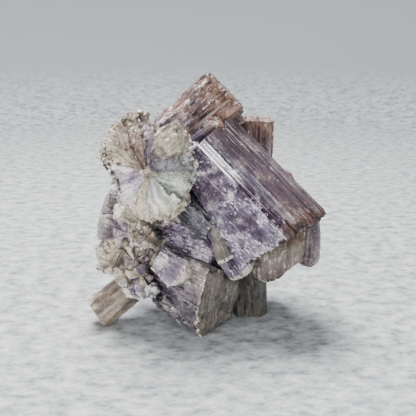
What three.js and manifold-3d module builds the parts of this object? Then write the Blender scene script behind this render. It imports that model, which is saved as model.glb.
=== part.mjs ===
// A cluster of intergrown aragonite crystals: stubby six-sided prisms with flat ends, striated
// along their length, that radiate from a common core and stand on four of their own corners.
// Millimetres, +Z up. The origin is on the resting plane, below the middle of the cluster.
import * as THREE from "three";
import { mergeVertices } from "three/addons/utils/BufferGeometryUtils.js";
import Module from "manifold-3d";

const wasm = await Module();
wasm.setup();

// Driving dimensions.
const SIZE = 1; // scale of the whole cluster
const MIDDLE = [-0.1, 3.9]; // middle of the cluster in the X and Y that the tables below are laid out in
const LEDGE_WIDTH = [1, 3.6]; // narrowest and widest strip that stands proud of a prism face
const LEDGE_RISE = [0.18, 0.55]; // how far a strip stands proud
const LEDGE_ROOT = 0.8; // how deep a strip is set into its prism
const RIM_OVERSHOOT = [-0.7, 0.7]; // how far past the end face a strip stops
const STEP_HEIGHT = [0.35, 0.9]; // how far a step stands up from an end face
const STEP_SHARE = [0.5, 0.8]; // its size, as a share of the end face
const CRUST_SIDES = 5;

// The face of a prism that its section's +v looks towards, unless the prism says otherwise.
const FRONT = [0, -1, 0];

// Each prism runs from foot (buried in the core) to tip (the flat end). Its section is a list of
// [u, v] corners round the axis, counterclockwise seen from the tip, with v towards FRONT.
// footSection has the same corners at the foot, or footScale shrinks the section there.
// slant tilts the end face: millimetres along the axis for each millimetre of u and v.
const PRISMS = {
  main: {
    foot: [-1, 1, 43.5],
    tip: [19.5, -5, 23],
    section: [
      [10.5, 1.5],
      [9.6, 4.4],
      [3.4, 10.1],
      [1.2, 11],
      [-11.3, 6],
      [-11.6, -1],
      [-6, -9],
      [4, -10],
      [10.3, -4.5],
    ],
    footSection: [
      [10.3, 1.5],
      [9.4, 4.2],
      [3.2, 10.1],
      [1.2, 10.8],
      [-6, 7.2],
      [-7.6, 0],
      [-5, -8],
      [4, -8.5],
      [10, -4.5],
    ],
    slant: [0.2, -0.05],
    ledges: 18,
    steps: 2,
  },
  crown: {
    foot: [-13, 3, 40.5],
    tip: [5.1, 3, 56.6],
    section: [
      [5.9, 0],
      [4.9, 3.6],
      [1, 6.3],
      [-4.6, 5.6],
      [-6.3, 1],
      [-5, -5],
      [1, -6.5],
      [5, -4],
    ],
    slant: [-0.08, 0],
    ledges: 13,
    steps: 1,
  },
  crownShoulder: {
    foot: [-2, 5, 43.5],
    tip: [8.2, 5, 51.2],
    section: [
      [2.8, 0.5],
      [1.5, 3],
      [-2.2, 2.4],
      [-3, -1],
      [-1, -4],
      [2.2, -3],
    ],
    ledges: 3,
    steps: 1,
  },
  crownFringe: {
    foot: [-3, -2, 45],
    tip: [4.2, -4, 50.2],
    section: [
      [2.4, 0.6],
      [0.8, 1.9],
      [-1.6, 1.3],
      [-2.4, -1.4],
      [1.8, -2],
    ],
    ledges: 3,
  },
  rearBlock: {
    foot: [12, 10.5, 34],
    tip: [12.1, 10.5, 49],
    section: [
      [4.3, 3.6],
      [2, 5],
      [-3.4, 4.6],
      [-4.7, 3],
      [-4.4, -3.8],
      [0.5, -5.2],
      [4.5, -3.6],
    ],
    slant: [0.06, 0.02],
    ledges: 4,
    steps: 1,
  },
  underBlock: {
    foot: [18.5, 2.5, 27],
    tip: [17.6, 1.8, 11.8],
    section: [
      [7, -1.5],
      [6, 3.6],
      [1, 4.8],
      [-5, 4.2],
      [-7.6, 1],
      [-6, -5],
      [2, -7],
    ],
    slant: [-0.42, 0],
    ledges: 6,
  },
  underColumn: {
    foot: [24.6, 4, 28],
    tip: [25, 3.4, 14.4],
    section: [
      [2.9, 0.5],
      [1.4, 3.2],
      [-2.4, 3],
      [-3.4, -1.5],
      [0.5, -4.5],
      [2.8, -3],
    ],
    footScale: 0.8,
    ledges: 3,
  },
  sidePrism: {
    foot: [1, -6, 26.5],
    tip: [9.6, -7.6, 15.2],
    section: [
      [3.6, 0.5],
      [2.6, 3],
      [-2.2, 3.4],
      [-3.6, 0.8],
      [-2, -4],
      [3, -4],
    ],
    ledges: 4,
  },
  sideSplinter: {
    foot: [1.8, -7.2, 27],
    tip: [5, -10.2, 18.4],
    section: [
      [1.9, 0.4],
      [1, 1.6],
      [-1.4, 1.5],
      [-2, -0.4],
      [-0.4, -2.6],
      [1.6, -2],
    ],
    ledges: 2,
  },
  violetBlock: {
    foot: [-12, 0, 23.5],
    tip: [2.6, -5.6, 20.4],
    section: [
      [4.4, -0.6],
      [3.6, 0.8],
      [-3.9, 3.5],
      [-4.6, -2],
      [0, -6],
      [4, -5],
    ],
    ledges: 3,
  },
  lower: {
    foot: [-8.6, 1, 13],
    tip: [3.4, -8.1, 9.2],
    section: [
      [7.8, 7.6],
      [2.8, 8.1],
      [-2.4, 6.8],
      [-8, 3.6],
      [-10.7, 0.6],
      [-7, -9.6],
      [2.6, -8.8],
      [6, -1],
    ],
    footScale: 0.93,
    ledges: 9,
    steps: 2,
  },
  leg: {
    foot: [-17, 1.5, 10.3],
    tip: [-26.5, -2.4, 3.1],
    section: [
      [4.5, 0.6],
      [2.6, 3.6],
      [-1.8, 4],
      [-4.2, 1.2],
      [-3, -3.2],
      [2.2, -3.8],
    ],
    slant: [0.04, 0.1],
    ledges: 5,
    steps: 1,
  },
  rearLeg: {
    foot: [10.8, 7, 18],
    tip: [11.4, 6.6, -0.8],
    section: [
      [4.2, 1.5],
      [2.6, 4.6],
      [-3.4, 4.7],
      [-4.4, -0.5],
      [-2.5, -4.8],
      [3, -4.4],
    ],
    ledges: 4,
  },
  leftTop: {
    foot: [-15, 0, 22.5],
    tip: [-24.8, -3.6, 25.6],
    section: [
      [3.3, 0.6],
      [1.8, 2.7],
      [-1.6, 2.6],
      [-3.2, 0.4],
      [-1.8, -3],
      [1.8, -3],
    ],
    ledges: 4,
    steps: 1,
  },
  leftShelf: {
    foot: [-14, 3, 26],
    tip: [-24, 2, 30.4],
    section: [
      [3.4, 0.5],
      [1.6, 2.9],
      [-2, 2.6],
      [-3.2, -0.6],
      [0.5, -3.2],
    ],
    ledges: 3,
  },
  leftDark: {
    foot: [-14, -1, 25],
    tip: [-20.4, -5, 30],
    section: [
      [2.2, 0.6],
      [0.8, 2.2],
      [-1.8, 1.6],
      [-2.2, -1],
      [0.6, -2.4],
    ],
    ledges: 2,
  },
  // The hidden side of the cluster.
  backCrown: {
    foot: [-3, 5, 38],
    tip: [-6.5, 17, 47],
    sides: 6,
    radius: 6,
    front: [0, 0, 1],
    ledges: 5,
    steps: 1,
  },
  backMain: {
    foot: [2, 4, 28],
    tip: [4, 22, 29],
    sides: 6,
    radius: 8.4,
    front: [0, 0, 1],
    ledges: 6,
    steps: 2,
  },
  backRight: {
    foot: [8, 6, 28],
    tip: [20.5, 15.5, 31],
    sides: 6,
    radius: 5.6,
    front: [0, 0, 1],
    ledges: 4,
    steps: 1,
  },
  backLeft: {
    foot: [-7, 5, 31],
    tip: [-19.5, 14.5, 33.5],
    sides: 6,
    radius: 6.2,
    front: [0, 0, 1],
    ledges: 5,
    steps: 1,
  },
  backLow: {
    foot: [8, 8, 20],
    tip: [17.6, 17, 14.5],
    sides: 6,
    radius: 5.3,
    front: [0, 0, 1],
    ledges: 4,
    steps: 1,
  },
  backLowLeft: {
    foot: [-8, 6, 20],
    tip: [-19, 14, 17],
    sides: 6,
    radius: 5.4,
    front: [0, 0, 1],
    ledges: 4,
    steps: 1,
  },
  backFoot: {
    foot: [-3, 8, 18],
    tip: [-6, 18.5, 2],
    sides: 6,
    radius: 6.5,
    front: [0, 0, 1],
    ledges: 5,
  },
};

// The rosette: a trilled crystal seen on its end, whose wedge-shaped sectors fan out from one
// hub. reach is the middle of each sector's outer edge, half its half-width there and start its
// inner end; deep is how far it goes back and crest how far its middle stands forward.
const ROSETTE = {
  creamFan: { start: [-12.4, -12.6, 41.6], reach: [-22.4, -10, 47.2], half: 4.3, crest: 0.9 },
  tanFan: { start: [-12.4, -12.2, 42], reach: [-18.9, -9, 51.6], half: 3, crest: 0.5 },
  mauveFan: { start: [-12.2, -11.8, 42], reach: [-14.9, -8.2, 50.8], half: 3.1, crest: 0.4 },
  lilacColumns: { start: [-11.6, -12, 41], reach: [-11.2, -10.2, 48], half: 2.8, crest: 1.2 },
  greyDisc: { start: [-12, -11.8, 42], reach: [-5.6, -11.4, 43], half: 2.9, crest: 0.3 },
  whiteFace: { start: [-11.6, -12.6, 41], reach: [-7.2, -13, 31.6], half: 4.9, crest: 1.1 },
  creamBumps: { start: [-12.6, -12.6, 39.6], reach: [-15, -11.6, 30.8], half: 2.6, crest: 0.8 },
  lilacBand: { start: [-12.8, -12.8, 41.4], reach: [-20.9, -10, 38.4], half: 3.1, crest: 0.6 },
  lowerSector: { start: [-12.8, -12.2, 40], reach: [-17.6, -10.6, 33.6], half: 2.8, crest: 0.5 },
};
const SECTOR_DEPTH = 7.5;
const ROSETTE_TRUNK = { foot: [-6, 3, 37], tip: [-13.2, -9.6, 41.4], sides: 7, radius: 7.2 };

// Plates and blocks that stand on the larger prisms: middle, thickness, turn about X, Y and Z, and
// the outline [x, z] of the front face.
const PLATES = {
  lilacPlate: {
    at: [-8, -11.6, 18.2],
    thick: 6,
    turn: [0.16, 0.1, 0.1],
    outline: [
      [-6.2, 0.6],
      [-4.6, -1.8],
      [-1.6, -3.4],
      [1.6, -5.2],
      [4, -5.4],
      [5.4, -2.6],
      [5, 0.8],
      [2.6, 3.2],
      [-1.6, 4.6],
      [-4.8, 3.6],
    ],
  },
  tanBlock: {
    at: [-7.2, -8, 47.4],
    thick: 5.5,
    turn: [0.1, 0.1, 0.05],
    outline: [
      [-4, -1],
      [-2.6, -3.2],
      [0.4, -3.4],
      [2.4, -1],
      [4, 2],
      [2.2, 3.5],
      [-0.4, 2.7],
      [-3.3, 0.6],
    ],
  },
  whiteTip: {
    at: [5, -10.4, 18.6],
    thick: 2,
    turn: [0.2, 0.3, 0.2],
    outline: [
      [-1.4, -0.6],
      [0.3, -1.9],
      [1.5, -0.2],
      [0.2, 1.7],
    ],
  },
  footCrust: {
    at: [-11.3, -4.2, 9.4],
    thick: 4.4,
    turn: [0.3, 0.2, 0.2],
    outline: [
      [-2.2, -0.8],
      [0.4, -2.2],
      [2.2, -0.4],
      [1.2, 1.9],
      [-1.4, 2],
    ],
  },
};

// Crusts of small crystals that point away from a hub: middle, reach each way, number and size.
const CRUSTS = {
  crevice: {
    at: [-4.6, -8.4, 41.4],
    hub: [-2, 0, 40],
    reach: [2.4, 1, 5],
    count: 7,
    size: [1.2, 2],
  },
  leftRosette: {
    at: [-22, -5.2, 20],
    hub: [-19, -1, 20],
    reach: [3.4, 1.6, 4],
    count: 10,
    size: [1.4, 2.5],
  },
  leftFringe: {
    at: [-24.9, -0.4, 17.6],
    hub: [-19, 0, 18],
    reach: [1.2, 2, 2.8],
    count: 5,
    size: [1.3, 2],
  },
  middleFill: {
    at: [-15.8, -6.6, 21.6],
    hub: [-14, 0, 21],
    reach: [3, 1.4, 4.2],
    count: 7,
    size: [1.5, 2.6],
  },
  lowFill: {
    at: [-17, -4.8, 12.2],
    hub: [-13, 0, 14],
    reach: [3.6, 1.6, 2.8],
    count: 6,
    size: [1.4, 2.3],
  },
  topLeft: {
    at: [-12.6, -1, 48.4],
    hub: [-11, 2, 44],
    reach: [2.4, 1.4, 1.2],
    count: 4,
    size: [1.2, 1.8],
  },
  backCrust: {
    at: [-2, 12, 37],
    hub: [0, 2, 33],
    reach: [8, 2, 7],
    count: 4,
    size: [1.8, 2.8],
  },
  backLowCrust: {
    at: [2, 12, 18],
    hub: [1, 2, 20],
    reach: [9, 2, 4],
    count: 4,
    size: [1.6, 2.6],
  },
};

// Lumps that fill the middle of the cluster: centre and half sizes.
const CORE = [
  { at: [-3, 3, 32], half: [12.5, 10, 13] },
  { at: [4, 4, 26], half: [13, 9, 11] },
  { at: [-9, 2, 18], half: [10.5, 7.5, 9] },
  { at: [2, 4, 16], half: [10, 8, 9] },
  { at: [-17, 0, 24.5], half: [6.5, 6, 6.5] },
  { at: [-19, -1, 17.5], half: [6, 4.8, 5.2] },
];

function seeded(seed) {
  let state = seed * 2654435761;
  return () => {
    state = (state + 0x6d2b79f5) | 0;
    let mixed = Math.imul(state ^ (state >>> 15), 1 | state);
    mixed = (mixed + Math.imul(mixed ^ (mixed >>> 7), 61 | mixed)) ^ mixed;
    return ((mixed ^ (mixed >>> 14)) >>> 0) / 4294967296;
  };
}

const between = (random, [low, high]) => low + (high - low) * random();

// A closed three.js geometry as a manifold-3d solid.
function solidOf(geometry) {
  const bare = geometry.clone();
  bare.deleteAttribute("normal");
  bare.deleteAttribute("uv");
  const merged = mergeVertices(bare, 1e-4);
  return new wasm.Manifold(
    new wasm.Mesh({
      numProp: 3,
      vertProperties: merged.attributes.position.array,
      triVerts: new Uint32Array(merged.index.array),
    }),
  );
}

const joined = (solids) => solids.reduce((whole, solid) => whole.add(solid));

// A closed outline pulled from t = 0 to t = 1 and placed by a function of (u, v, t).
function pulled(outline, placed) {
  const shape = new THREE.Shape(outline.map(([u, v]) => new THREE.Vector2(u, v)));
  const geometry = new THREE.ExtrudeGeometry(shape, { depth: 1, steps: 1, bevelEnabled: false });
  const position = geometry.attributes.position;
  for (let i = 0; i < position.count; i++) {
    const point = placed(position.getX(i), position.getY(i), position.getZ(i));
    position.setXYZ(i, point.x, point.y, point.z);
  }
  return solidOf(geometry);
}

// An uneven polygon for a prism whose section isn't given.
function unevenSection(sides, radius, random) {
  return Array.from({ length: sides }, (_, i) => {
    const angle = ((i + 0.3 * random()) / sides) * 2 * Math.PI;
    const reach = radius * (0.88 + 0.2 * random());
    return [reach * Math.cos(angle), reach * Math.sin(angle)];
  });
}

// The frame of a prism, and where a section point [u, v] at a share t of its length lies.
function prismPlacer(prism) {
  const foot = new THREE.Vector3(...prism.foot);
  const tip = new THREE.Vector3(...prism.tip);
  const length = foot.distanceTo(tip);
  const w = tip.clone().sub(foot).normalize();
  const v = new THREE.Vector3(...(prism.front ?? FRONT));
  v.addScaledVector(w, -v.dot(w)).normalize();
  const u = v.clone().cross(w);
  const [slantU, slantV] = prism.slant ?? [0, 0];
  return (a, b, t) => {
    const along = t * length + Math.max(0, t) * (slantU * a + slantV * b);
    return foot.clone().addScaledVector(w, along).addScaledVector(u, a).addScaledVector(v, b);
  };
}

// One prism with the strips that stand proud of its faces and break up its end.
function prismSolid(prism, seed) {
  const random = seeded(seed);
  const section = prism.section ?? unevenSection(prism.sides, prism.radius, random);
  const footScale = prism.footScale ?? 0.92;
  const footSection = prism.footSection ?? section.map(([u, v]) => [u * footScale, v * footScale]);
  const at = prismPlacer(prism);
  const length = new THREE.Vector3(...prism.foot).distanceTo(new THREE.Vector3(...prism.tip));
  const mixed = (i, share, t) => {
    const j = (i + 1) % section.length;
    const end = (ring) => [0, 1].map((k) => ring[i][k] + (ring[j][k] - ring[i][k]) * share);
    const [low, high] = [end(footSection), end(section)];
    return [0, 1].map((k) => low[k] + (high[k] - low[k]) * t);
  };
  const body = pulled(section, (u, v, t) => {
    const i = section.findIndex(([a, b]) => Math.hypot(a - u, b - v) < 1e-4);
    const [a, b] = t > 0.5 ? [u, v] : footSection[i];
    return at(a, b, t);
  });
  const sides = section.map(([u, v], i) => {
    const [a, b] = section[(i + 1) % section.length];
    return { width: Math.hypot(a - u, b - v), out: [b - v, u - a] };
  });
  const total = sides.reduce((sum, side) => sum + side.width, 0);
  const ledges = [];
  for (let n = 0; n < (prism.ledges ?? 0); n++) {
    let walked = ((n + 0.6 * random()) / prism.ledges) * total;
    let i = 0;
    while (walked > sides[i].width && i < sides.length - 1) walked -= sides[i++].width;
    const { width, out } = sides[i];
    const half = Math.min(between(random, LEDGE_WIDTH) / 2, width * 0.48);
    const middle = Math.min(Math.max(walked, half), width - half);
    const [from, to] = [(middle - half) / width, (middle + half) / width];
    const rise = between(random, LEDGE_RISE);
    const start = random() < 0.45 ? 0.05 : 0.1 + 0.5 * random();
    const rim = 1 + between(random, RIM_OVERSHOOT) / length;
    const stop = random() < 0.65 ? rim : start + 0.25 + 0.25 * random();
    ledges.push(
      pulled(
        [
          [0, -1],
          [1, -1],
          [0.92, 1],
          [0.08, 1],
        ],
        (across, level, t) => {
          const share = start + (Math.min(stop, rim) - start) * t;
          const [a, b] = mixed(i, to + (from - to) * across, share);
          const lift = (level > 0 ? rise : -LEDGE_ROOT) / width;
          return at(a + out[0] * lift, b + out[1] * lift, share);
        },
      ),
    );
  }
  const steps = [];
  for (let n = 0; n < (prism.steps ?? 0); n++) {
    const share = between(random, STEP_SHARE);
    const height = between(random, STEP_HEIGHT) / length;
    const towards = section[Math.floor(random() * section.length)];
    const [du, dv] = towards.map((c) => c * (1 - share) * 0.85);
    const outline = section.map(([u, v]) => [u * share + du, v * share + dv]);
    steps.push(pulled(outline, (u, v, t) => at(u, v, 0.92 + (0.08 + height) * t)));
  }
  return joined([body, ...ledges, ...steps]);
}

// One sector of the rosette: a wedge with a crowned front, narrow at the hub.
function sectorSolid({ start, reach, half, crest }, seed) {
  const section = [
    [half, -SECTOR_DEPTH],
    [half, -0.5],
    [half * 0.45, crest],
    [-half * 0.35, crest * 0.8],
    [-half, -0.6],
    [-half, -SECTOR_DEPTH],
  ];
  const footSection = section.map(([u, v]) => [u * 0.25, v * 0.8]);
  return prismSolid({ foot: start, tip: reach, section, footSection, ledges: 2 }, seed);
}

// A plate: its outline narrows a little towards the front.
function plateSolid({ at, thick, turn, outline }) {
  const turned = new THREE.Euler(...turn);
  const middle = new THREE.Vector3(...at);
  return pulled(outline, (x, z, t) => {
    const shrink = 1.12 - 0.2 * t;
    const point = new THREE.Vector3(x * shrink, thick * (0.5 - t), z * shrink);
    return point.applyEuler(turned).add(middle);
  });
}

// A crust: stubby blades at scattered places, each pointing roughly away from the hub.
function crustSolid({ at, hub, reach, count, size }, seed) {
  const random = seeded(seed);
  const jitter = () => random() - 0.5;
  const crystals = [];
  for (let n = 0; n < count; n++) {
    const centre = new THREE.Vector3(...at.map((middle, k) => middle + 2 * reach[k] * jitter()));
    const radius = between(random, size);
    const axis = centre.clone().sub(new THREE.Vector3(...hub)).normalize();
    axis.add(new THREE.Vector3(jitter(), jitter(), jitter()).multiplyScalar(1.1)).normalize();
    const turned = new THREE.Quaternion().setFromUnitVectors(new THREE.Vector3(0, 0, 1), axis);
    const outline = unevenSection(CRUST_SIDES, radius, random);
    const place = (u, v, t) => {
      const swell = 0.8 + 0.3 * t;
      return new THREE.Vector3(u * swell, 0.75 * v * swell, (2.6 * t - 1.5) * radius);
    };
    crystals.push(pulled(outline, (u, v, t) => place(u, v, t).applyQuaternion(turned).add(centre)));
  }
  return joined(crystals);
}

// A rounded, uneven lump.
function lumpSolid({ at, half }, seed) {
  const random = seeded(seed);
  const ball = new THREE.IcosahedronGeometry(1, 1);
  const geometry = mergeVertices(ball.deleteAttribute("normal").deleteAttribute("uv"), 1e-4);
  const position = geometry.attributes.position;
  for (let i = 0; i < position.count; i++) {
    const reach = 0.9 + 0.14 * random();
    position.setXYZ(
      i,
      at[0] + position.getX(i) * half[0] * reach,
      at[1] + position.getY(i) * half[1] * reach,
      at[2] + position.getZ(i) * half[2] * reach,
    );
  }
  return solidOf(geometry);
}

// The largest closed shell of a mesh, without the specks and bubbles left where faces nearly meet.
function largestShell({ vertProperties, triVerts }) {
  const parent = Array.from(vertProperties, (_, i) => i);
  const rootOf = (i) => {
    while (parent[i] !== i) i = parent[i] = parent[parent[i]];
    return i;
  };
  const triangles = [];
  for (let k = 0; k < triVerts.length; k += 3) {
    const [a, b, c] = triVerts.subarray(k, k + 3);
    parent[rootOf(a)] = rootOf(b);
    parent[rootOf(b)] = rootOf(c);
    triangles.push([a, b, c]);
  }
  const counts = new Map();
  for (const [a] of triangles) counts.set(rootOf(a), (counts.get(rootOf(a)) ?? 0) + 1);
  const [[largest]] = [...counts].sort((a, b) => b[1] - a[1]);
  const geometry = new THREE.BufferGeometry();
  geometry.setAttribute("position", new THREE.BufferAttribute(vertProperties, 3));
  geometry.setIndex(triangles.filter(([a]) => rootOf(a) === largest).flat());
  return mergeVertices(geometry, 1e-5);
}

const solids = [
  ...Object.values(PRISMS).map((prism, i) => prismSolid(prism, i + 1)),
  prismSolid(ROSETTE_TRUNK, 71),
  ...Object.values(ROSETTE).map((sector, i) => sectorSolid(sector, i + 81)),
  ...Object.values(PLATES).map(plateSolid),
  ...Object.values(CRUSTS).map((crust, i) => crustSolid(crust, i + 101)),
  ...CORE.map((lump, i) => lumpSolid(lump, i + 121)),
];

// The crystals have grown through each other, so they are one solid, worn flat where it stands.
const ground = new THREE.BoxGeometry(200, 200, 20).translate(0, 0, -10);
const cluster = joined(solids).subtract(solidOf(ground));
const geometry = largestShell(cluster.getMesh());
geometry.translate(-MIDDLE[0], -MIDDLE[1], 0).scale(SIZE, SIZE, SIZE);
geometry.computeVertexNormals();

const crystalMatter = new THREE.MeshStandardMaterial({ color: 0x8d7f8c, roughness: 0.45, metalness: 0 });
const clusterMesh = new THREE.Mesh(geometry, crystalMatter);
clusterMesh.name = "aragonite_cluster";

const group = new THREE.Group();
group.add(clusterMesh);
export default group;
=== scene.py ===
# An aragonite cluster: stubby prisms with striated sides and flat ends, grown through one
# another from a common middle, with a trilled rosette and crusts of small crystals.
import math
import random
from types import SimpleNamespace

import bmesh
import bpy
import numpy as np
from mathutils import Matrix, Quaternion, Vector


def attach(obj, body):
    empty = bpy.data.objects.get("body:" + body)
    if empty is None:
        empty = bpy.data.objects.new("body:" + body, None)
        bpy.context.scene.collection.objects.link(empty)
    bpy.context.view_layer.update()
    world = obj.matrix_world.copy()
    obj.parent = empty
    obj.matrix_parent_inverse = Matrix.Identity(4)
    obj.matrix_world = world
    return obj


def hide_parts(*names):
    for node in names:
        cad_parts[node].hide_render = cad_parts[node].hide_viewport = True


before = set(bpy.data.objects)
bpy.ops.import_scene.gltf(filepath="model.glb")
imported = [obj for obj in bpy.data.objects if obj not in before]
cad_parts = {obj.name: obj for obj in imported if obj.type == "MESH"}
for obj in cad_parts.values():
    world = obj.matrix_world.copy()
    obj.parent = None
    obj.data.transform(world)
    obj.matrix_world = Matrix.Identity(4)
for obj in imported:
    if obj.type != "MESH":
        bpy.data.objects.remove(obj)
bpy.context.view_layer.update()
stoneNode = "aragonite_cluster"
mm = 0.001  # one millimetre, in metres
middle = Vector((-0.1, 3.9, 0))  # where the frame's origin is in the tables below, in mm
heart = Vector((0, 4, 28))  # where the cluster grew from, in the tables
nearEnd = 1e-3  # how near the end counts as on it, in mm
onLevel = 1e-6  # the same for the cut cage, in metres
leastMove = 0.005  # what is too little to see, in mm
unbroken = 50  # a strip longer than any face, in mm
pieces = []


def clearPick():
    if bpy.context.mode != "OBJECT":
        bpy.ops.object.mode_set(mode="OBJECT")
    bpy.ops.object.select_all(action="DESELECT")


def pickOnly(*items):
    clearPick()
    for item in items:
        item.select_set(True)
    bpy.context.view_layer.objects.active = items[0]


def inPlace(point):
    return (Vector(point) - middle) * mm


def hexColour(text):
    # sRGB hex to linear
    channels = [int(text[i : i + 2], 16) / 255 for i in (1, 3, 5)]
    return (*[c / 12.92 if c <= 0.04045 else ((c + 0.055) / 1.055) ** 2.4 for c in channels], 1)


def addNode(tree, kind, inputs=None, **settings):
    # a node with its settings, its inputs set or linked; gives back its outputs
    node = tree.nodes.new(kind)
    for name, value in settings.items():
        setattr(node, name, value)
    for name, value in (inputs or {}).items():
        if isinstance(value, bpy.types.NodeSocket):
            tree.links.new(value, node.inputs[name])
        else:
            node.inputs[name].default_value = value
    return node.outputs


def setRamp(outputs, stops):
    # colour ramp stops as (place, hex)
    elements = outputs[0].node.color_ramp.elements
    while len(elements) < len(stops):
        elements.new(0.5)
    for element, (place, value) in zip(elements, stops):
        element.position = place
        element.color = hexColour(value)
    return outputs["Color"]


def readPatterns(tree, look):
    # the prism's attributes, and the noises and cells that run through the stone
    place = addNode(tree, "ShaderNodeTexCoord")["Object"]
    around = addNode(tree, "ShaderNodeAttribute", attribute_name="around")["Vector"]
    growth, relief, shade, edge = (
        addNode(tree, "ShaderNodeAttribute", attribute_name=key)["Fac"]
        for key in ("growth", "relief", "shade", "edge")
    )
    # sizes in mm: zones of growth, inclusions, striations along the prism, fibres, grains, curls
    patterns = {
        "cloud": (place, (4.5, 4.5, 4.5), 3, 0.6, 0),
        "mottle": (place, (1.8, 1.8, 1.8), 4, 0.65, 0.3),
        "streak": (around, (look["stria"], look["run"], 1), 3, 0.6, 0),
        "fibre": (around, (0.24, 3.6, 1), 2, 0.6, 0),
        "grain": (place, (0.45, 0.45, 0.45), 3, 0.7, 0),
        "swirl": (place, (1.2, 1.2, 1.2), 2, 0.55, 1.6),
    }
    noise = {}
    centred = {}
    for key, (vector, sizes, detail, roughness, distortion) in patterns.items():
        scale = [1 / (size * mm) for size in sizes]
        placed = addNode(tree, "ShaderNodeMapping", {"Vector": vector, "Scale": scale})["Vector"]
        values = {"Vector": placed, "Scale": 1, "Detail": detail}
        values.update({"Roughness": roughness, "Distortion": distortion})
        noise[key] = addNode(tree, "ShaderNodeTexNoise", values)["Fac"]
        centred[key] = addNode(tree, "ShaderNodeMath", {0: noise[key], 1: 0.5}, operation="SUBTRACT")[0]

    # cleavage cells, longer along the prism than across it
    sizes = [1 / (look["facet"] * size * mm) for size in (0.6, 1.7, 0.6)]
    placed = addNode(tree, "ShaderNodeMapping", {"Vector": around, "Scale": sizes})["Vector"]
    warp = addNode(tree, "ShaderNodeMath", {0: noise["mottle"], 1: 1.6}, operation="MULTIPLY")[0]
    placed = addNode(tree, "ShaderNodeVectorMath", {0: placed, 1: warp}, operation="ADD")[0]
    cells = addNode(tree, "ShaderNodeTexVoronoi", {"Vector": placed, "Scale": 1})
    cellTone = addNode(tree, "ShaderNodeSeparateColor", {"Color": cells["Color"]})["Red"]

    # painted glints: white dots painted into the colour where cleavage would glint, in some cells
    # only, drawn coarser than they are so that they show at all
    crooked = addNode(tree, "ShaderNodeVectorMath", {0: place, 1: (2.2, 1.1, 2.2)}, operation="MULTIPLY")[0]
    speck = addNode(tree, "ShaderNodeTexVoronoi", {"Vector": crooked, "Scale": 1 / (1.3 * mm)})
    chosen = addNode(tree, "ShaderNodeSeparateColor", {"Color": speck["Color"]})["Green"]
    chosen = addNode(tree, "ShaderNodeMath", {0: chosen, 1: noise["mottle"]}, operation="ADD")[0]
    fewest = 1.5 - look["paintedGlints"]
    chosen = addNode(tree, "ShaderNodeMath", {0: chosen, 1: fewest}, operation="GREATER_THAN")[0]
    read = SimpleNamespace(growth=growth, relief=relief, shade=shade, edge=edge, noise=noise)
    read.centred, read.cells, read.cellTone = centred, cells, cellTone
    read.speck, read.chosen = speck["Distance"], chosen
    return read


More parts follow.
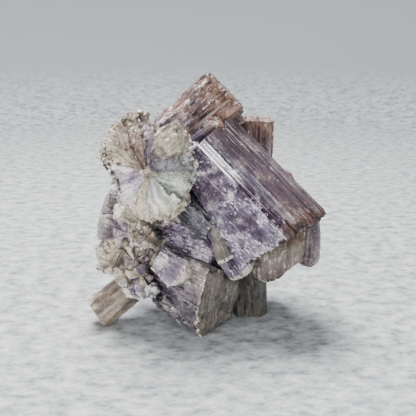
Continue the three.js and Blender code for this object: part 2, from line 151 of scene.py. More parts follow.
def findShares(tree, look, read):
    # what decides where each layer shows, and how much of it does
    noise, centred = read.noise, read.centred
    # sums of a first value and shares of others: how near the tip the body colour is, how low a
    # place is (for the painted shade in hollows), how likely a white crust is (partly painted glints
    # in cleavage cells and zones), and how high the surface stands
    addends = {
        "level": [
            read.growth,
            (centred["cloud"], look["cloudy"]),
            (centred["streak"], 0.35),
            (centred["mottle"], 0.25),
        ],
        "low": [read.relief, (noise["grain"], -0.25)],
        "crust": [
            noise["mottle"],
            (noise["cloud"], 0.6),
            # white cleavage flakes in some cells, partly real flakes and partly painted glints
            (read.cellTone, look["flakesAndGlints"]),
            (read.edge, look["edgeCrust"]),
            (read.growth, look["tipCrust"]),
            (read.relief, 0.15),
        ],
        "spots": [noise["grain"], (noise["fibre"], 1)],
        "zone": [noise["cloud"], (read.edge, 0.12)],
        "height": [
            0,
            (noise["streak"], 1.6),
            (noise["fibre"], 0.6),
            (noise["grain"], look["grainBump"]),
            (noise["mottle"], look["swell"]),
        ],
    }
    sums = {}
    for key, (total, *others) in addends.items():
        for value, amount in others:
            step = {0: value, 1: amount, 2: total}
            total = addNode(tree, "ShaderNodeMath", step, operation="MULTIPLY_ADD")[0]
        sums[key] = total

    # how much of a layer shows: the value that says so, its two levels, and the amount at each
    crack = addNode(tree, "ShaderNodeMath", {0: centred["swirl"]}, operation="ABSOLUTE")[0]
    matt = look["roughness"]
    levels = {
        "deep": (noise["mottle"], look["deepFrom"], look["deepFrom"] + 0.08, 0, 1),
        "stainCurl": (noise["swirl"], 0.5, 0.66, 0, 0.45),
        "stainZone": (noise["cloud"], 0.48, 0.6, 0, 0.45),
        # painted shade: the striations' grooves and the low places are darkened as if in shade
        "groove": (noise["streak"], look["grooveTo"], look["grooveTo"] + 0.06, look["grooves"], 0),
        "hollow": (sums["low"], -0.6, -0.42, look["hollowShade"], 0),
        # painted highlight: the proud striations are lightened with the crust colour as if lit
        "ridgeHighlight": (noise["streak"], 0.6, 0.7, 0, look["ridgeHighlights"]),
        "crust": (sums["crust"], look["crustFrom"], look["crustFrom"] + 0.03, 0, 1),
        "spots": (sums["spots"], 0.92, 1.02, 0.1, 1),
        "crack": (crack, 0.01, 0.035, look["cracks"], 0),
        "zone": (sums["zone"], 0.5, 0.6, 0, 1),
        # painted glints: white dots in the chosen cells
        "speck": (read.speck, 0.1, 0.22, 0.8, 0),
        "matt": (noise["mottle"], 0.3, 0.7, matt - 0.1, matt + 0.12),
        "fresh": (read.cellTone, 0.62, 0.7, 1, 0.4),
        "sheen": (read.growth, 0.32, 0.5, 1, 1 - look["dulled"]),
    }
    shares = {}
    for key, (value, low, high, atLow, atHigh) in levels.items():
        ends = {"Value": value, "From Min": low, "From Max": high, "To Min": atLow, "To Max": atHigh}
        shares[key] = addNode(tree, "ShaderNodeMapRange", ends)["Result"]
    pairs = {
        "stain": ("ADD", shares["stainCurl"], shares["stainZone"]),
        "paintedShade": ("MAXIMUM", shares["groove"], shares["hollow"]),
        "crustAndGlints": ("MULTIPLY", shares["crust"], shares["spots"]),
        "healed": ("MULTIPLY", shares["crack"], shares["zone"]),
        "paintedGlint": ("MULTIPLY", shares["speck"], read.chosen),
        "coat": ("MULTIPLY", shares["sheen"], look["coat"]),
        "roughness": ("MULTIPLY", shares["matt"], shares["fresh"]),
    }
    for key, (operation, first, second) in pairs.items():
        shares[key] = addNode(tree, "ShaderNodeMath", {0: first, 1: second}, operation=operation)[0]
    return sums, shares


def layBody(tree, look, read, level, shares):
    # tones of zones, striations, fibres, grains, cleavage cells and each crystal's own shade
    tone = 1.0
    tones = (
        (read.noise["cloud"], 0.38, 0.62, look["patches"]),
        (read.noise["mottle"], 0.38, 0.62, look["patches"]),
        (read.noise["streak"], 0.4, 0.6, look["streaks"]),
        (read.noise["fibre"], 0.35, 0.65, 0.7 * look["streaks"]),
        (read.noise["grain"], 0.35, 0.65, look["grainy"]),
        (read.cellTone, 0, 1, look["cells"]),
        (read.shade, -1, 1, 0.14),
    )
    for value, low, high, amount in tones:
        ends = {"Value": value, "From Min": low, "From Max": high, "To Min": 1 - amount, "To Max": 1 + amount}
        share = addNode(tree, "ShaderNodeMapRange", ends)["Result"]
        tone = addNode(tree, "ShaderNodeMath", {0: share, 1: tone}, operation="MULTIPLY")[0]

    # body colour from foot to tip with inclusions and stains, toned, then painted shade in the grooves and
    # low places, painted highlights on the proud striations, a white crust on edges and tips that is partly
    # painted highlights and glints, healed cracks and painted glints
    body = setRamp(addNode(tree, "ShaderNodeValToRGB", {"Fac": level}), look["body"])
    layers = [("deep", "deep"), ("stain", "stain"), ("paintedShade", "paintedShade"), ("ridgeHighlight", "crust")]
    layers += [(share, "crust") for share in ("crustAndGlints", "healed", "paintedGlint")]
    for share, colour in layers:
        if share == "paintedShade":
            body = addNode(tree, "ShaderNodeVectorMath", {0: body, "Scale": tone}, operation="SCALE")[0]
        mixed = {0: shares[share], 6: body, 7: hexColour(look[colour])}
        body = addNode(tree, "ShaderNodeMix", mixed, data_type="RGBA")[2]
    return body


# Aragonite is a calcium carbonate: glassy on fresh faces, silky where fibres end, chalky where a
# crust has grown over it. Iron stains the ends red-brown, and the middles stay violet.
def makeStone(name, look):
    material = bpy.data.materials.new(name)
    material.use_nodes = True
    tree = material.node_tree
    tree.nodes.clear()
    read = readPatterns(tree, look)
    sums, shares = findShares(tree, look, read)

    # the crust, with its painted glints, is rough, the painted shade in grooves and hollows has no shine,
    # and some faces dull towards the tip
    rough = {0: shares["crustAndGlints"], 1: 0.25, 2: shares["roughness"]}
    rough = addNode(tree, "ShaderNodeMath", rough, operation="MULTIPLY_ADD", use_clamp=True)[0]
    rough = {0: read.growth, 1: 0.4 * look["dulled"], 2: rough}
    rough = addNode(tree, "ShaderNodeMath", rough, operation="MULTIPLY_ADD")[0]
    shine = {"Value": shares["paintedShade"], "From Min": 0, "From Max": 1, "To Min": 0.36, "To Max": 0.03}
    shine = addNode(tree, "ShaderNodeMapRange", shine)["Result"]
    shine = addNode(tree, "ShaderNodeMath", {0: shine, 1: shares["sheen"]}, operation="MULTIPLY")[0]

    # bump from the patterns, on cleavage cells each tilted its own way
    bump = {"Strength": look["bump"], "Distance": 0.25 * mm, "Height": sums["height"]}
    bump = addNode(tree, "ShaderNodeBump", bump)["Normal"]
    tilt = {0: read.cells["Color"], 1: (0.5, 0.5, 0.5)}
    tilt = addNode(tree, "ShaderNodeVectorMath", tilt, operation="SUBTRACT")[0]
    tilt = addNode(tree, "ShaderNodeVectorMath", {0: tilt, "Scale": look["tilt"]}, operation="SCALE")[0]
    normal = addNode(tree, "ShaderNodeVectorMath", {0: bump, 1: tilt}, operation="ADD")[0]
    normal = addNode(tree, "ShaderNodeVectorMath", {0: normal}, operation="NORMALIZE")[0]

    surface = {
        "Base Color": layBody(tree, look, read, sums["level"], shares),
        "Roughness": rough,
        "Specular IOR Level": shine,
        "IOR": 1.6,
        "Normal": normal,
        "Coat Weight": shares["coat"],
        "Coat Roughness": 0.06,
        "Subsurface Weight": look["glow"],
        "Subsurface Radius": (1.0, 0.85, 0.9),
        "Subsurface Scale": 1.2 * mm,
    }
    surface = addNode(tree, "ShaderNodeBsdfPrincipled", surface)["BSDF"]
    addNode(tree, "ShaderNodeOutputMaterial", {"Surface": surface})
    return material


# body: colours from foot to tip; deep: inclusions; the crust colour: a white crust on proud places, and
# the painted highlights and glints; the darkest colour: painted shade in grooves and low places.
# A name that ends in From or To is where a layer starts on its pattern. stria and run are a
# striation's width and length in mm, facet is a cleavage cell's size, the rest are amounts.
plainLook = {
    "stain": "#7a6a62", "crust": "#dcd7d0", "paintedShade": "#2a2124",
    "deepFrom": 0.55, "crustFrom": 1.34, "edgeCrust": 0.3, "tipCrust": 0.06, "flakesAndGlints": 0.34,
    "cracks": 0.35, "paintedGlints": 0.08, "hollowShade": 0.9, "grooves": 0.45, "grooveTo": 0.34,
    "ridgeHighlights": 0.3, "cloudy": 0.8, "patches": 0.16, "stria": 0.6, "run": 14, "streaks": 0.2,
    "grainy": 0.16, "cells": 0.2, "roughness": 0.24, "bump": 0.8, "grainBump": 0.35,
    "swell": 1.6, "facet": 0.8, "tilt": 0.4, "coat": 0.1, "dulled": 0, "glow": 0.06,
}
looks = {
    # fresh and glassy, with deep and pale zones and healed cracks; its white flakes are partly painted
    # glints
    "violetAragonite": {
        "body": [(0.08, "#371d40"), (0.42, "#4d3957"), (0.7, "#6d5d7b"), (1.0, "#978b9d")],
        "deep": "#2d1537", "stain": "#887c82", "crust": "#e3dde9",
        "deepFrom": 0.53, "crustFrom": 1.42, "flakesAndGlints": 0.62, "tipCrust": 0.1, "cracks": 1,
        "paintedGlints": 0.2, "grooves": 0.4, "cloudy": 1.3, "patches": 0.26, "streaks": 0.14,
        "cells": 0.3, "roughness": 0.16, "bump": 0.9, "swell": 4, "facet": 0.5, "tilt": 0.5,
        "coat": 0.2, "glow": 0.08,
    },
    # smooth and pearly; its body is painted paler near the foot, a painted highlight where it catches
    # the light along the prism
    "silkyAragonite": {
        "body": [(0.1, "#a79fac"), (0.24, "#6f6277"), (0.38, "#43354a"), (1.0, "#402f37")],
        "deep": "#43304e", "stain": "#6f6070", "crust": "#d9d3dc", "paintedShade": "#1f141d",
        "crustFrom": 1.5, "edgeCrust": 0.1, "cracks": 0.8, "grooves": 1, "grooveTo": 0.46,
        "ridgeHighlights": 0.4, "patches": 0.12, "stria": 0.42, "run": 26, "streaks": 0.4, "cells": 0.1,
        "roughness": 0.12, "bump": 0.4, "swell": 0.4, "tilt": 0.06, "coat": 1, "dulled": 0.95,
    },
    # mauve and silky, its long striations catching a dull light
    "mauveAragonite": {
        "body": [(0.0, "#4f4149"), (0.4, "#544553"), (0.7, "#57474f"), (1.0, "#503f40")],
        "deep": "#422e3e", "stain": "#664f4b",
        "crustFrom": 1.38, "paintedGlints": 0.24, "edgeCrust": 0.15, "ridgeHighlights": 0.2, "stria": 0.8,
        "run": 30, "grooves": 0.5, "grooveTo": 0.36, "roughness": 0.2, "swell": 1,
        "tilt": 0.18, "coat": 0.15,
    },
    # weathered violet-grey, half matt
    "duskyAragonite": {
        "body": [(0.0, "#4a404c"), (0.4, "#62566a"), (0.8, "#7b6e79"), (1.0, "#93867f")],
        "deep": "#41354a", "stain": "#83757a",
        "crustFrom": 1.3, "paintedGlints": 0.2,
    },
    # dark and slaty, darkened further as painted shade where it lies in the shade between the prisms
    "slateAragonite": {
        "body": [(0.0, "#26252e"), (0.5, "#33323c"), (1.0, "#4a4853")],
        "deep": "#211f2b", "stain": "#4d4a55", "paintedShade": "#131117",
        "crustFrom": 1.32, "paintedGlints": 0.5, "grooves": 0.8, "grooveTo": 0.4, "streaks": 0.4,
    },
    # iron-stained towards the tip, violet lower down
    "rustAragonite": {
        "body": [(0.1, "#776d8d"), (0.45, "#7b6b7d"), (0.66, "#7d625d"), (0.95, "#7d5d4c")],
        "deep": "#41324a", "stain": "#855f50", "crust": "#e0d6d0", "paintedShade": "#251a1d",
        "crustFrom": 1.28, "patches": 0.22, "streaks": 0.26, "ridgeHighlights": 0.45, "bump": 1.1,
        "swell": 2.6, "cells": 0.34, "roughness": 0.18, "tilt": 0.7, "coat": 0.4,
    },
    # rust-red and fibrous, where a prism's rim has weathered
    "rustFringe": {
        "body": [(0.0, "#33262a"), (0.5, "#3a2b2e"), (0.8, "#422f2e"), (1.0, "#4a3531")],
        "deep": "#2b1d1e", "stain": "#573f38", "crust": "#a98f82", "paintedShade": "#1a1112",
        "crustFrom": 1.5, "edgeCrust": 0, "paintedGlints": 0, "cracks": 0.1, "ridgeHighlights": 0.12,
        "streaks": 0.36, "grooveTo": 0.4, "swell": 2.4,
    },
    # cream and fibrous, where prisms end in fine points
    "creamAragonite": {
        "body": [(0.0, "#8d7f74"), (0.35, "#b0a490"), (0.65, "#ccc1a9"), (1.0, "#e0d9c6")],
        "deep": "#84705f", "stain": "#a8957f", "crust": "#efebe4", "paintedShade": "#6b5d50",
        "cracks": 0.1, "crustFrom": 1.26, "patches": 0.14, "grooves": 0.5, "swell": 2.4,
        "glow": 0.15,
    },
    # pale violet and pearly, as thin plates are
    "lilacAragonite": {
        "body": [(0.0, "#67536e"), (0.5, "#84728a"), (0.8, "#9b8c98"), (1.0, "#ac9d93")],
        "deep": "#584664", "stain": "#a0928c", "crust": "#ebe8ec", "paintedShade": "#3a2f38",
        "crustFrom": 1.3, "cracks": 0.7, "paintedGlints": 0.25, "swell": 2.4, "roughness": 0.2,
        "coat": 0.2, "glow": 0.12,
    },
    # nearly white, with lilac in the furrows of its fan
    "paleLilacAragonite": {
        "body": [(0.0, "#a890ae"), (0.4, "#dac8dd"), (0.8, "#f2e3f0"), (1.0, "#f2e7df")],
        "deep": "#7c6a8c", "stain": "#e6dbd6", "crust": "#faf8fb", "paintedShade": "#4d3d5c",
        "crustFrom": 1.22, "cracks": 0, "stria": 1.1, "run": 24, "streaks": 0.3,
        "grooves": 0.75, "grooveTo": 0.33, "swell": 2, "roughness": 0.18, "coat": 0.5,
        "glow": 0.12,
    },
    # tan and waxy, stained all through
    "tanAragonite": {
        "body": [(0.0, "#6a5b57"), (0.5, "#796a62"), (0.8, "#8a796b"), (1.0, "#a08e78")],
        "deep": "#5a4945", "stain": "#948068", "paintedShade": "#52443a",
        "cloudy": 1.2, "patches": 0.22, "streaks": 0.12, "grooves": 0.25, "stria": 1.1,
        "swell": 2.6, "roughness": 0.2, "coat": 0.5, "glow": 0.1,
    },
    # milk-white and waxy, glowing a little where it is thin
    "milkyAragonite": {
        "body": [(0.0, "#d2d3d2"), (0.45, "#f2f3f1"), (0.8, "#f1efe2"), (1.0, "#cfc08c")],
        "deep": "#b4b6af", "stain": "#e3e2d2", "crust": "#fbfbf8", "paintedShade": "#7d7566",
        "deepFrom": 0.56, "crustFrom": 1.2, "cracks": 0.1, "hollowShade": 0.6, "grooves": 0.3,
        "streaks": 0.1, "roughness": 0.14, "bump": 0.4, "swell": 2.4, "facet": 1.8,
        "tilt": 0.25, "coat": 0.8, "glow": 0.3,
    },
    # tan shading to mauve, silky along its fan
    "fawnAragonite": {
        "body": [(0.0, "#a48d78"), (0.35, "#846d5e"), (0.7, "#917b68"), (1.0, "#c2b59f")],
        "deep": "#745d62", "stain": "#806a66", "crust": "#e6dfd4", "paintedShade": "#564644",
        "crustFrom": 1.5, "cracks": 0, "paintedGlints": 0, "stria": 1.1, "run": 20, "streaks": 0.24,
        "swell": 2, "roughness": 0.2, "coat": 0.4, "glow": 0.15,
    },
    # scaly and splintered, white flakes over dull violet
    "scalyAragonite": {
        "body": [(0.0, "#3f3646"), (0.5, "#4c4251"), (1.0, "#61575c")],
        "deep": "#32273a", "stain": "#7d726d", "crust": "#dad7d6", "paintedShade": "#231b24",
        "crustFrom": 1.36, "flakesAndGlints": 0.2, "cracks": 0.9, "cloudy": 1.2, "patches": 0.26,
        "streaks": 0.1, "grooves": 0.5, "cells": 0.34, "facet": 0.7, "swell": 3,
        "roughness": 0.2, "tilt": 0.6, "coat": 0.2,
    },
    # like water-clear ice with a green tinge, full of bright cracks
    "glassyAragonite": {
        "body": [(0.0, "#a5a8a2"), (0.5, "#989d97"), (0.8, "#b5b9ae"), (1.0, "#c9cab2")],
        "deep": "#7d827e", "stain": "#b3b7a8", "crust": "#f8faf6", "paintedShade": "#4a4c49",
        "crustFrom": 1.24, "cracks": 0.8, "paintedGlints": 0.5, "streaks": 0.3, "roughness": 0.12,
        "facet": 1.2, "coat": 0.8, "glow": 0.2,
    },
    # thin and clear enough to look grey
    "clearAragonite": {
        "body": [(0.0, "#8f8891"), (0.5, "#a19ca4"), (1.0, "#b3b0ab")],
        "deep": "#77707e", "stain": "#a6a19e", "crust": "#eeedeb", "paintedShade": "#4a454b",
        "crustFrom": 1.42, "cracks": 0.2, "hollowShade": 0.6, "roughness": 0.16, "facet": 1.2,
        "coat": 0.6, "glow": 0.2,
    },
    # dull grey: the grey aragonite darkened as painted shade, for the leg in the shade underneath
    "dimAragonite": {
        "body": [(0.0, "#3f3d3b"), (1.0, "#4e4a45")],
        "deep": "#322f2d", "stain": "#4d453c", "crust": "#8d8880",
        "crustFrom": 1.45, "cracks": 0.2, "streaks": 0.15, "grooves": 0.3, "roughness": 0.3,
    },
    # dull and woolly, where a prism broke across
    "greyAragonite": {
        "body": [(0.0, "#656061"), (0.4, "#625d5a"), (0.7, "#6f675f"), (1.0, "#7b746d")],
        "deep": "#4e4844", "stain": "#756b60", "crust": "#a9a39b", "paintedShade": "#2f2b27",
        "crustFrom": 1.4, "cracks": 0.55, "cloudy": 1.2, "patches": 0.24, "streaks": 0.1,
        "grainy": 0.28, "grooves": 0.15, "stria": 0.5, "run": 2.4, "roughness": 0.4,
        "grainBump": 1.2, "swell": 3, "facet": 0.6, "coat": 0,
    },
    # pale crust, stained with rust where water ran down it
    "rustyCrust": {
        "body": [
            (0.26, "#56362a"), (0.42, "#7a604e"), (0.56, "#8f897c"), (0.78, "#8a7e78"),
            (0.95, "#75605f"),
        ],
        "deep": "#6b5044", "stain": "#8d7a6a", "crust": "#cfcac1", "paintedShade": "#33271f",
        "crustFrom": 1.22, "cracks": 0.1, "cloudy": 0.5, "patches": 0.2, "grooves": 0.12,
        "ridgeHighlights": 0.1, "streaks": 0.12, "stria": 1.5, "grainy": 0.22, "grainBump": 0.9,
        "swell": 3,
    },
    # a sparkling rough crust of tiny crystals
    "drusyCrust": {
        "body": [(0.0, "#74706a"), (0.4, "#8f887b"), (0.7, "#a79d8b"), (1.0, "#c1b6a0")],
        "deep": "#5a544c", "stain": "#a8977f", "crust": "#e2ded6", "paintedShade": "#544b41",
        "crustFrom": 1.22, "patches": 0.24, "grooves": 0.2, "grainy": 0.22, "cells": 0.3,
        "bump": 0.6, "swell": 2, "coat": 0.5, "glow": 0.12,
    },
}
stones = {name: makeStone(name, {**plainLook, **look}) for name, look in looks.items()}
print("materials", len(stones))


# A prism starts as a cube that is cut down to its faces. Its own axes are Z along its length and
# Y towards the front. section and footSection list [x, y] corners in mm, counterclockwise.
def cutCage(prism, length):
    clearPick()
    bpy.ops.mesh.primitive_cube_add(size=1, location=(0, 0, 0.5 * length * mm))
    cage = bpy.context.object
    cage.scale = (80 * mm, 80 * mm, length * mm)  # wider than any prism
    bpy.ops.object.transform_apply(location=True, rotation=True, scale=True)
    bpy.ops.object.mode_set(mode="EDIT")
    corners, footCorners = prism["section"], prism["footSection"]
    for i in range(len(corners)):
        tipCorner = Vector((*corners[i], length))
        nextCorner = Vector((*corners[(i + 1) % len(corners)], length))
        footCorner = Vector((*footCorners[i], 0))
        normal = (nextCorner - tipCorner).cross(tipCorner - footCorner).normalized()
        bpy.ops.mesh.select_all(action="SELECT")
        bpy.ops.mesh.bisect(
            plane_co=tipCorner * mm, plane_no=normal, use_fill=True, clear_outer=True, threshold=1e-6
        )
    return cage


def pickEdges(cage, test):
    bpy.ops.mesh.select_mode(type="EDGE")
    bpy.ops.mesh.select_all(action="DESELECT")
    grid = bmesh.from_edit_mesh(cage.data)
    for edge in [edge for edge in grid.edges if test(edge)]:
        edge.select_set(True)
    bmesh.update_edit_mesh(cage.data)


def refineCage(cage, length, fine, coarse, rings):
    # each side face is cut into strips along its length, then across, and the end into rings
    top = length * mm
    grid = bmesh.from_edit_mesh(cage.data)
    rims = [e for e in grid.edges if min(v.co.z for v in e.verts) > top - onLevel]
    rims = [((e.verts[0].co + e.verts[1].co) / 2, e.calc_length()) for e in rims]
    for centre, width in rims:
        cuts = round(width / (fine * mm)) - 1
        if cuts < 1:
            continue
        grid = bmesh.from_edit_mesh(cage.data)
        rim = min(
            (e for e in grid.edges if min(v.co.z for v in e.verts) > top - onLevel),
            key=lambda e: ((e.verts[0].co + e.verts[1].co) / 2 - centre).length,
        )
        side = min(rim.link_faces, key=lambda f: abs(f.normal.z))
        pair = {rim.index} | {e.index for e in side.edges if max(v.co.z for v in e.verts) < onLevel}
        pickEdges(cage, lambda edge: edge.index in pair)
        bpy.ops.mesh.subdivide(number_cuts=cuts)
    pickEdges(cage, lambda edge: abs(edge.verts[0].co.z - edge.verts[1].co.z) > 0.5 * top)
    bpy.ops.mesh.subdivide(number_cuts=max(1, round(length / coarse) - 1))
    bpy.ops.mesh.select_mode(type="FACE")
    bpy.ops.mesh.select_all(action="DESELECT")
    grid = bmesh.from_edit_mesh(cage.data)
    for face in grid.faces:
        if len(face.verts) > 6 and face.calc_center_median().z > 0.9 * top:
            face.select_set(True)
    bmesh.update_edit_mesh(cage.data)
    last = 1.0
    for ring in rings:
        bpy.ops.mesh.inset(thickness=0, use_even_offset=False)
        bpy.ops.transform.resize(value=(ring / last,) * 3, center_override=(0, 0, top))
        last = ring
    bpy.ops.mesh.poke()
    bpy.ops.object.mode_set(mode="OBJECT")


def coordsOf(mesh):
    flat = np.empty(len(mesh.vertices) * 3)
    mesh.vertices.foreach_get("co", flat)
    return flat.reshape(-1, 3)


def sidesOf(corners):
    # a section's corners, each one's next, the sides' lengths, and where each starts on the way
    # round, with the first corner again at the end
    corners = np.array(corners, float)
    following = np.roll(corners, -1, axis=0)
    sides = np.linalg.norm(following - corners, axis=1)
    return corners, following, sides, np.concatenate([[0], np.cumsum(sides)])


def walkRound(points, corners):
    # how far round the section each point is, in mm, and on which side, by its direction
    corners, following, sides, starts = sidesOf(corners)
    angle = np.arctan2(points[:, 1], points[:, 0])
    first = math.atan2(corners[0, 1], corners[0, 0])
    angle = (angle - first) % (2 * math.pi)
    turn = (np.arctan2(corners[:, 1], corners[:, 0]) - first) % (2 * math.pi)
    which = np.clip(np.searchsorted(turn, angle, side="right") - 1, 0, len(corners) - 1)
    a, b = corners[which], following[which]
    ray = np.stack([np.cos(angle + first), np.sin(angle + first)], 1)
    edge = b - a
    # a + share * edge lies on the ray
    past = a[:, 0] * ray[:, 1] - a[:, 1] * ray[:, 0]
    along = edge[:, 0] * ray[:, 1] - edge[:, 1] * ray[:, 0]
    share = np.clip(-past / along, 0, 1)
    return starts[which] + share * sides[which], float(sides.sum()), which


strips = {
    "widths": (0.35, 1.8),  # least and most, by the usual width
    "lengths": (0.7, 1.6),
    "segments": 64,  # how many lengths before a strip's heights come again
    "shared": 0.55,  # how much of a height the whole strip shares
    "own": 0.45,  # and how much is each length's own
}


def ledgeHeights(seed, around, along, total, width, length):
    # uneven strips along the prism, each broken into lengths that stand at their own heights
    draw = np.random.default_rng(seed)
    count, segments = max(3, round(total / width)), strips["segments"]
    edges = np.cumsum(draw.uniform(*strips["widths"], count))
    edges *= total / edges[-1]
    column = np.clip(np.searchsorted(edges, around), 0, count - 1)
    shift = draw.uniform(0, length, count)[column]
    stretch = draw.uniform(*strips["lengths"], count)[column]
    segment = ((along + shift) / (length * stretch)).astype(int) % segments
    shared = strips["shared"] * draw.random(count)[column]
    return np.clip(shared + strips["own"] * draw.random((count, segments))[column, segment], 0, 1)


def pushAlong(item, moves):
    # displaces every vertex by its own move in mm, by painted weights, one axis and way at a time
    for axis, column in zip("XYZ", moves.T):
        for way in (1, -1):
            share = np.clip(way * column, 0, None)
            most = float(share.max())
            if most < leastMove:
                continue
            group = item.vertex_groups.new(name="push")
            levels = np.round(share / most, 2)
            for level in np.unique(levels):
                group.add(np.flatnonzero(levels == level).tolist(), float(level), "REPLACE")
            push = item.modifiers.new("push", "DISPLACE")
            push.vertex_group = "push"
            push.direction = axis
            push.mid_level = 0
            push.strength = way * most * mm
            applyModifier(item, "push")
            item.vertex_groups.remove(item.vertex_groups["push"])


def roughen(item, name, sizes, strength, settings=None, turn=(0.3, 0.5, 0.2)):
    # displaces by a noise whose sizes are in mm
    noise = bpy.data.textures.new(name, "CLOUDS")
    noise.noise_scale = 1
    for key, value in (settings or {}).items():
        setattr(noise, key, value)
    guide = bpy.data.objects.new(name + "Guide", None)
    bpy.context.collection.objects.link(guide)
    guide.scale = [size * mm for size in sizes]
    guide.rotation_euler = turn
    bpy.context.view_layer.update()
    rough = item.modifiers.new(name, "DISPLACE")
    rough.texture = noise
    rough.texture_coords = "OBJECT"
    rough.texture_coords_object = guide
    rough.mid_level = 0.5
    rough.strength = strength * mm
    applyModifier(item, name)
    bpy.data.objects.remove(guide)
    bpy.data.textures.remove(noise)


def applyModifier(item, name):
    bpy.context.view_layer.objects.active = item
    bpy.ops.object.modifier_apply(modifier=name)


def setAttribute(mesh, name, kind, values):
    layer = mesh.attributes.new(name, kind, "POINT")
    layer.data.foreach_set("vector" if kind == "FLOAT_VECTOR" else "value", values.astype(np.float32).ravel())


def layMap(item, laid, tile):
    # the bake's map: sides unrolled beside the end face, in this prism's tile of the piece's map;
    # the shares a little over and under one leave a margin round each
    mesh = item.data
    index, rows = tile
    corner = np.empty(len(mesh.loops), int)
    mesh.loops.foreach_get("vertex_index", corner)
    sizes = np.array([p.loop_total for p in mesh.polygons])
    starts = np.array([p.loop_start for p in mesh.polygons])
    flat = np.abs(np.array([p.normal.z for p in mesh.polygons])) > 0.8
    total, radius, points = laid.total, laid.radius, laid.points[corner]
    u, v = laid.around[corner], points[:, 2] / mm
    high = np.repeat(np.maximum.reduceat(u, starts), sizes)
    u = np.where(high - u > total / 2, u + total, u)
    onEnd = np.repeat(flat, sizes)
    width = 1.04 * total + 2.1 * radius
    tall = max(laid.length, 2 * radius)
    u = np.where(onEnd, 1.06 * total + radius + points[:, 0] / mm * 0.98, u)
    v = np.where(onEnd, radius + points[:, 1] / mm * 0.98, v)
    column, row = index % rows, index // rows
    place = np.stack([(column + 0.01 + 0.97 * u / width) / rows, (row + 0.01 + 0.97 * v / tall) / rows], 1)
    layer = mesh.uv_layers.new(name="OFBake")
    layer.uv.foreach_set("vector", np.clip(place, 0, 1).astype(np.float32).ravel())


growDefaults = {
    "front": (0, -1, 0),
    "fine": 0.2,  # width of the strips that its faces are cut into, in mm
    "coarse": 0.7,  # and their length
    "footScale": 0.92,
    "slant": (0, 0),  # how steeply the end rises, across and up
    "ledges": [(2.6, 12, 0.8), (1.0, 6, 0.5), (0.42, 4, 0.2)],  # width, length and height, in mm
    "ragged": 1.4,  # how far the rim's columns have broken back
    "wave": 0.5,
    "grainy": 0.0,
    "endSteps": [(2.6, 5, 0.7), (1.1, 2.4, 0.4), (0.5, 1.2, 0.18)],  # the same, on the end
    "rosette": False,  # the end's striations spread from its middle
    "cone": 0,  # how far the end's rim lies behind its middle
    "bulge": 0,  # how far the end's left and right lie behind its middle
    "round": 0,  # how far from the end its sides start to curve in
    # the zones' crust paints white patches, partly a real crust and partly painted highlights and glints
    "zones": [],  # place, size, how much nearer the tip its colour is, how crusted it is
    "endTurn": 10,  # degrees by which the striations on the end are turned
    "endRise": {},  # by side, how far its sector of a rosette stands forward
    "endTilt": {},  # by side, how steeply that sector rises, across and up
    "stone": "mauveAragonite",
    "sideStones": {},  # by the number of the side, counted from the section's first corner
    "sideRise": {},  # by side, how much of the ledges' height it has
    "endStone": None,
    "endStones": {},  # by side, where the end is a rosette
    "rimStone": None,
    "rimWidth": 2,
    "rimSides": None,  # the sides whose rim it is on, or every one
}


def inFrame(prism):
    # from the prism's own axes to the tables', in mm
    foot = Vector(prism["foot"])
    w = (Vector(prism["tip"]) - foot).normalized()
    v = Vector(prism["front"])
    v = (v - w * v.dot(w)).normalized()
    return Matrix.Translation(foot) @ Matrix((v.cross(w), v, w)).transposed().to_4x4()


def bySide(prism, key, usual):
    # what this key gives to each side, in order
    return np.array([prism[key].get(k, usual) for k in range(len(prism["section"]))])


def sideNormal(corners, k):
    (x0, y0), (x1, y1) = corners[k], corners[(k + 1) % len(corners)]
    width = math.hypot(x1 - x0, y1 - y0)
    return (y1 - y0) / width, (x0 - x1) / width


fanned = {
    "jump": 2.6,  # how far a boundary between a rosette's sectors steps aside, in mm
    "step": 1.3,  # and how far from the hub it goes before it does
    "behind": 5,  # how far behind the hub a sector's striations meet
    "apart": 20,  # between the striations of one sector and the next's
}


def sectorOf(prism, points, around):
    # which side's sector each point of the end is in, the boundaries stepping from side to side
    reach = np.linalg.norm(points, axis=1)
    jump = fanned["jump"] * ledgeHeights(prism["endTurn"], reach, reach * 0, 16, fanned["step"], unbroken)
    jump -= fanned["jump"] / 2
    starts = sidesOf(prism["section"])[3]
    return np.clip(np.searchsorted(starts, around + jump, side="right") - 1, 0, len(starts) - 2)


def layEnd(prism, points, around, radius):
    # where each point is across and along the end's striations, in mm; those of a rosette's
    # sector fan out from behind the hub, and neighbours of one stone are one sector
    turn = math.radians(prism["endTurn"])
    if not prism["rosette"]:
        turned = points @ np.array([[math.cos(turn), math.sin(turn)], [-math.sin(turn), math.cos(turn)]])
        return turned + 2 * radius
    sector = sectorOf(prism, points, around)
    stonesOf = [prism["endStones"].get(k, prism["stone"]) for k in range(len(prism["section"]))]
    count = len(stonesOf)
    first = next(k for k in range(count) if stonesOf[k] != stonesOf[k - 1])
    group, found = {first: 0}, 0
    for k in range(first + 1, first + count):
        found += stonesOf[k % count] != stonesOf[(k - 1) % count]
        group[k % count] = found
    laid = np.zeros_like(points)
    behind, apart = fanned["behind"], fanned["apart"]
    for which in range(found + 1):
        members = [k for k in group if group[k] == which]
        corners = [prism["section"][k] for k in members]
        corners += [prism["section"][(k + 1) % count] for k in members]
        heading = np.mean(np.array(corners), axis=0)
        heading /= np.linalg.norm(heading)
        here = np.isin(sector, members)
        away = points[here] + behind * heading
        ahead = away @ heading
        aside = away @ np.array([-heading[1], heading[0]])
        far = np.hypot(aside, ahead)
        wander = 0.5 * np.sin(0.8 * far + which) + 0.25 * np.sin(1.9 * far + 0.6 * aside)
        laid[here, 0] = np.arctan2(aside, ahead) * (radius + behind) + wander + apart * which + apart
        laid[here, 1] = far
    return laid


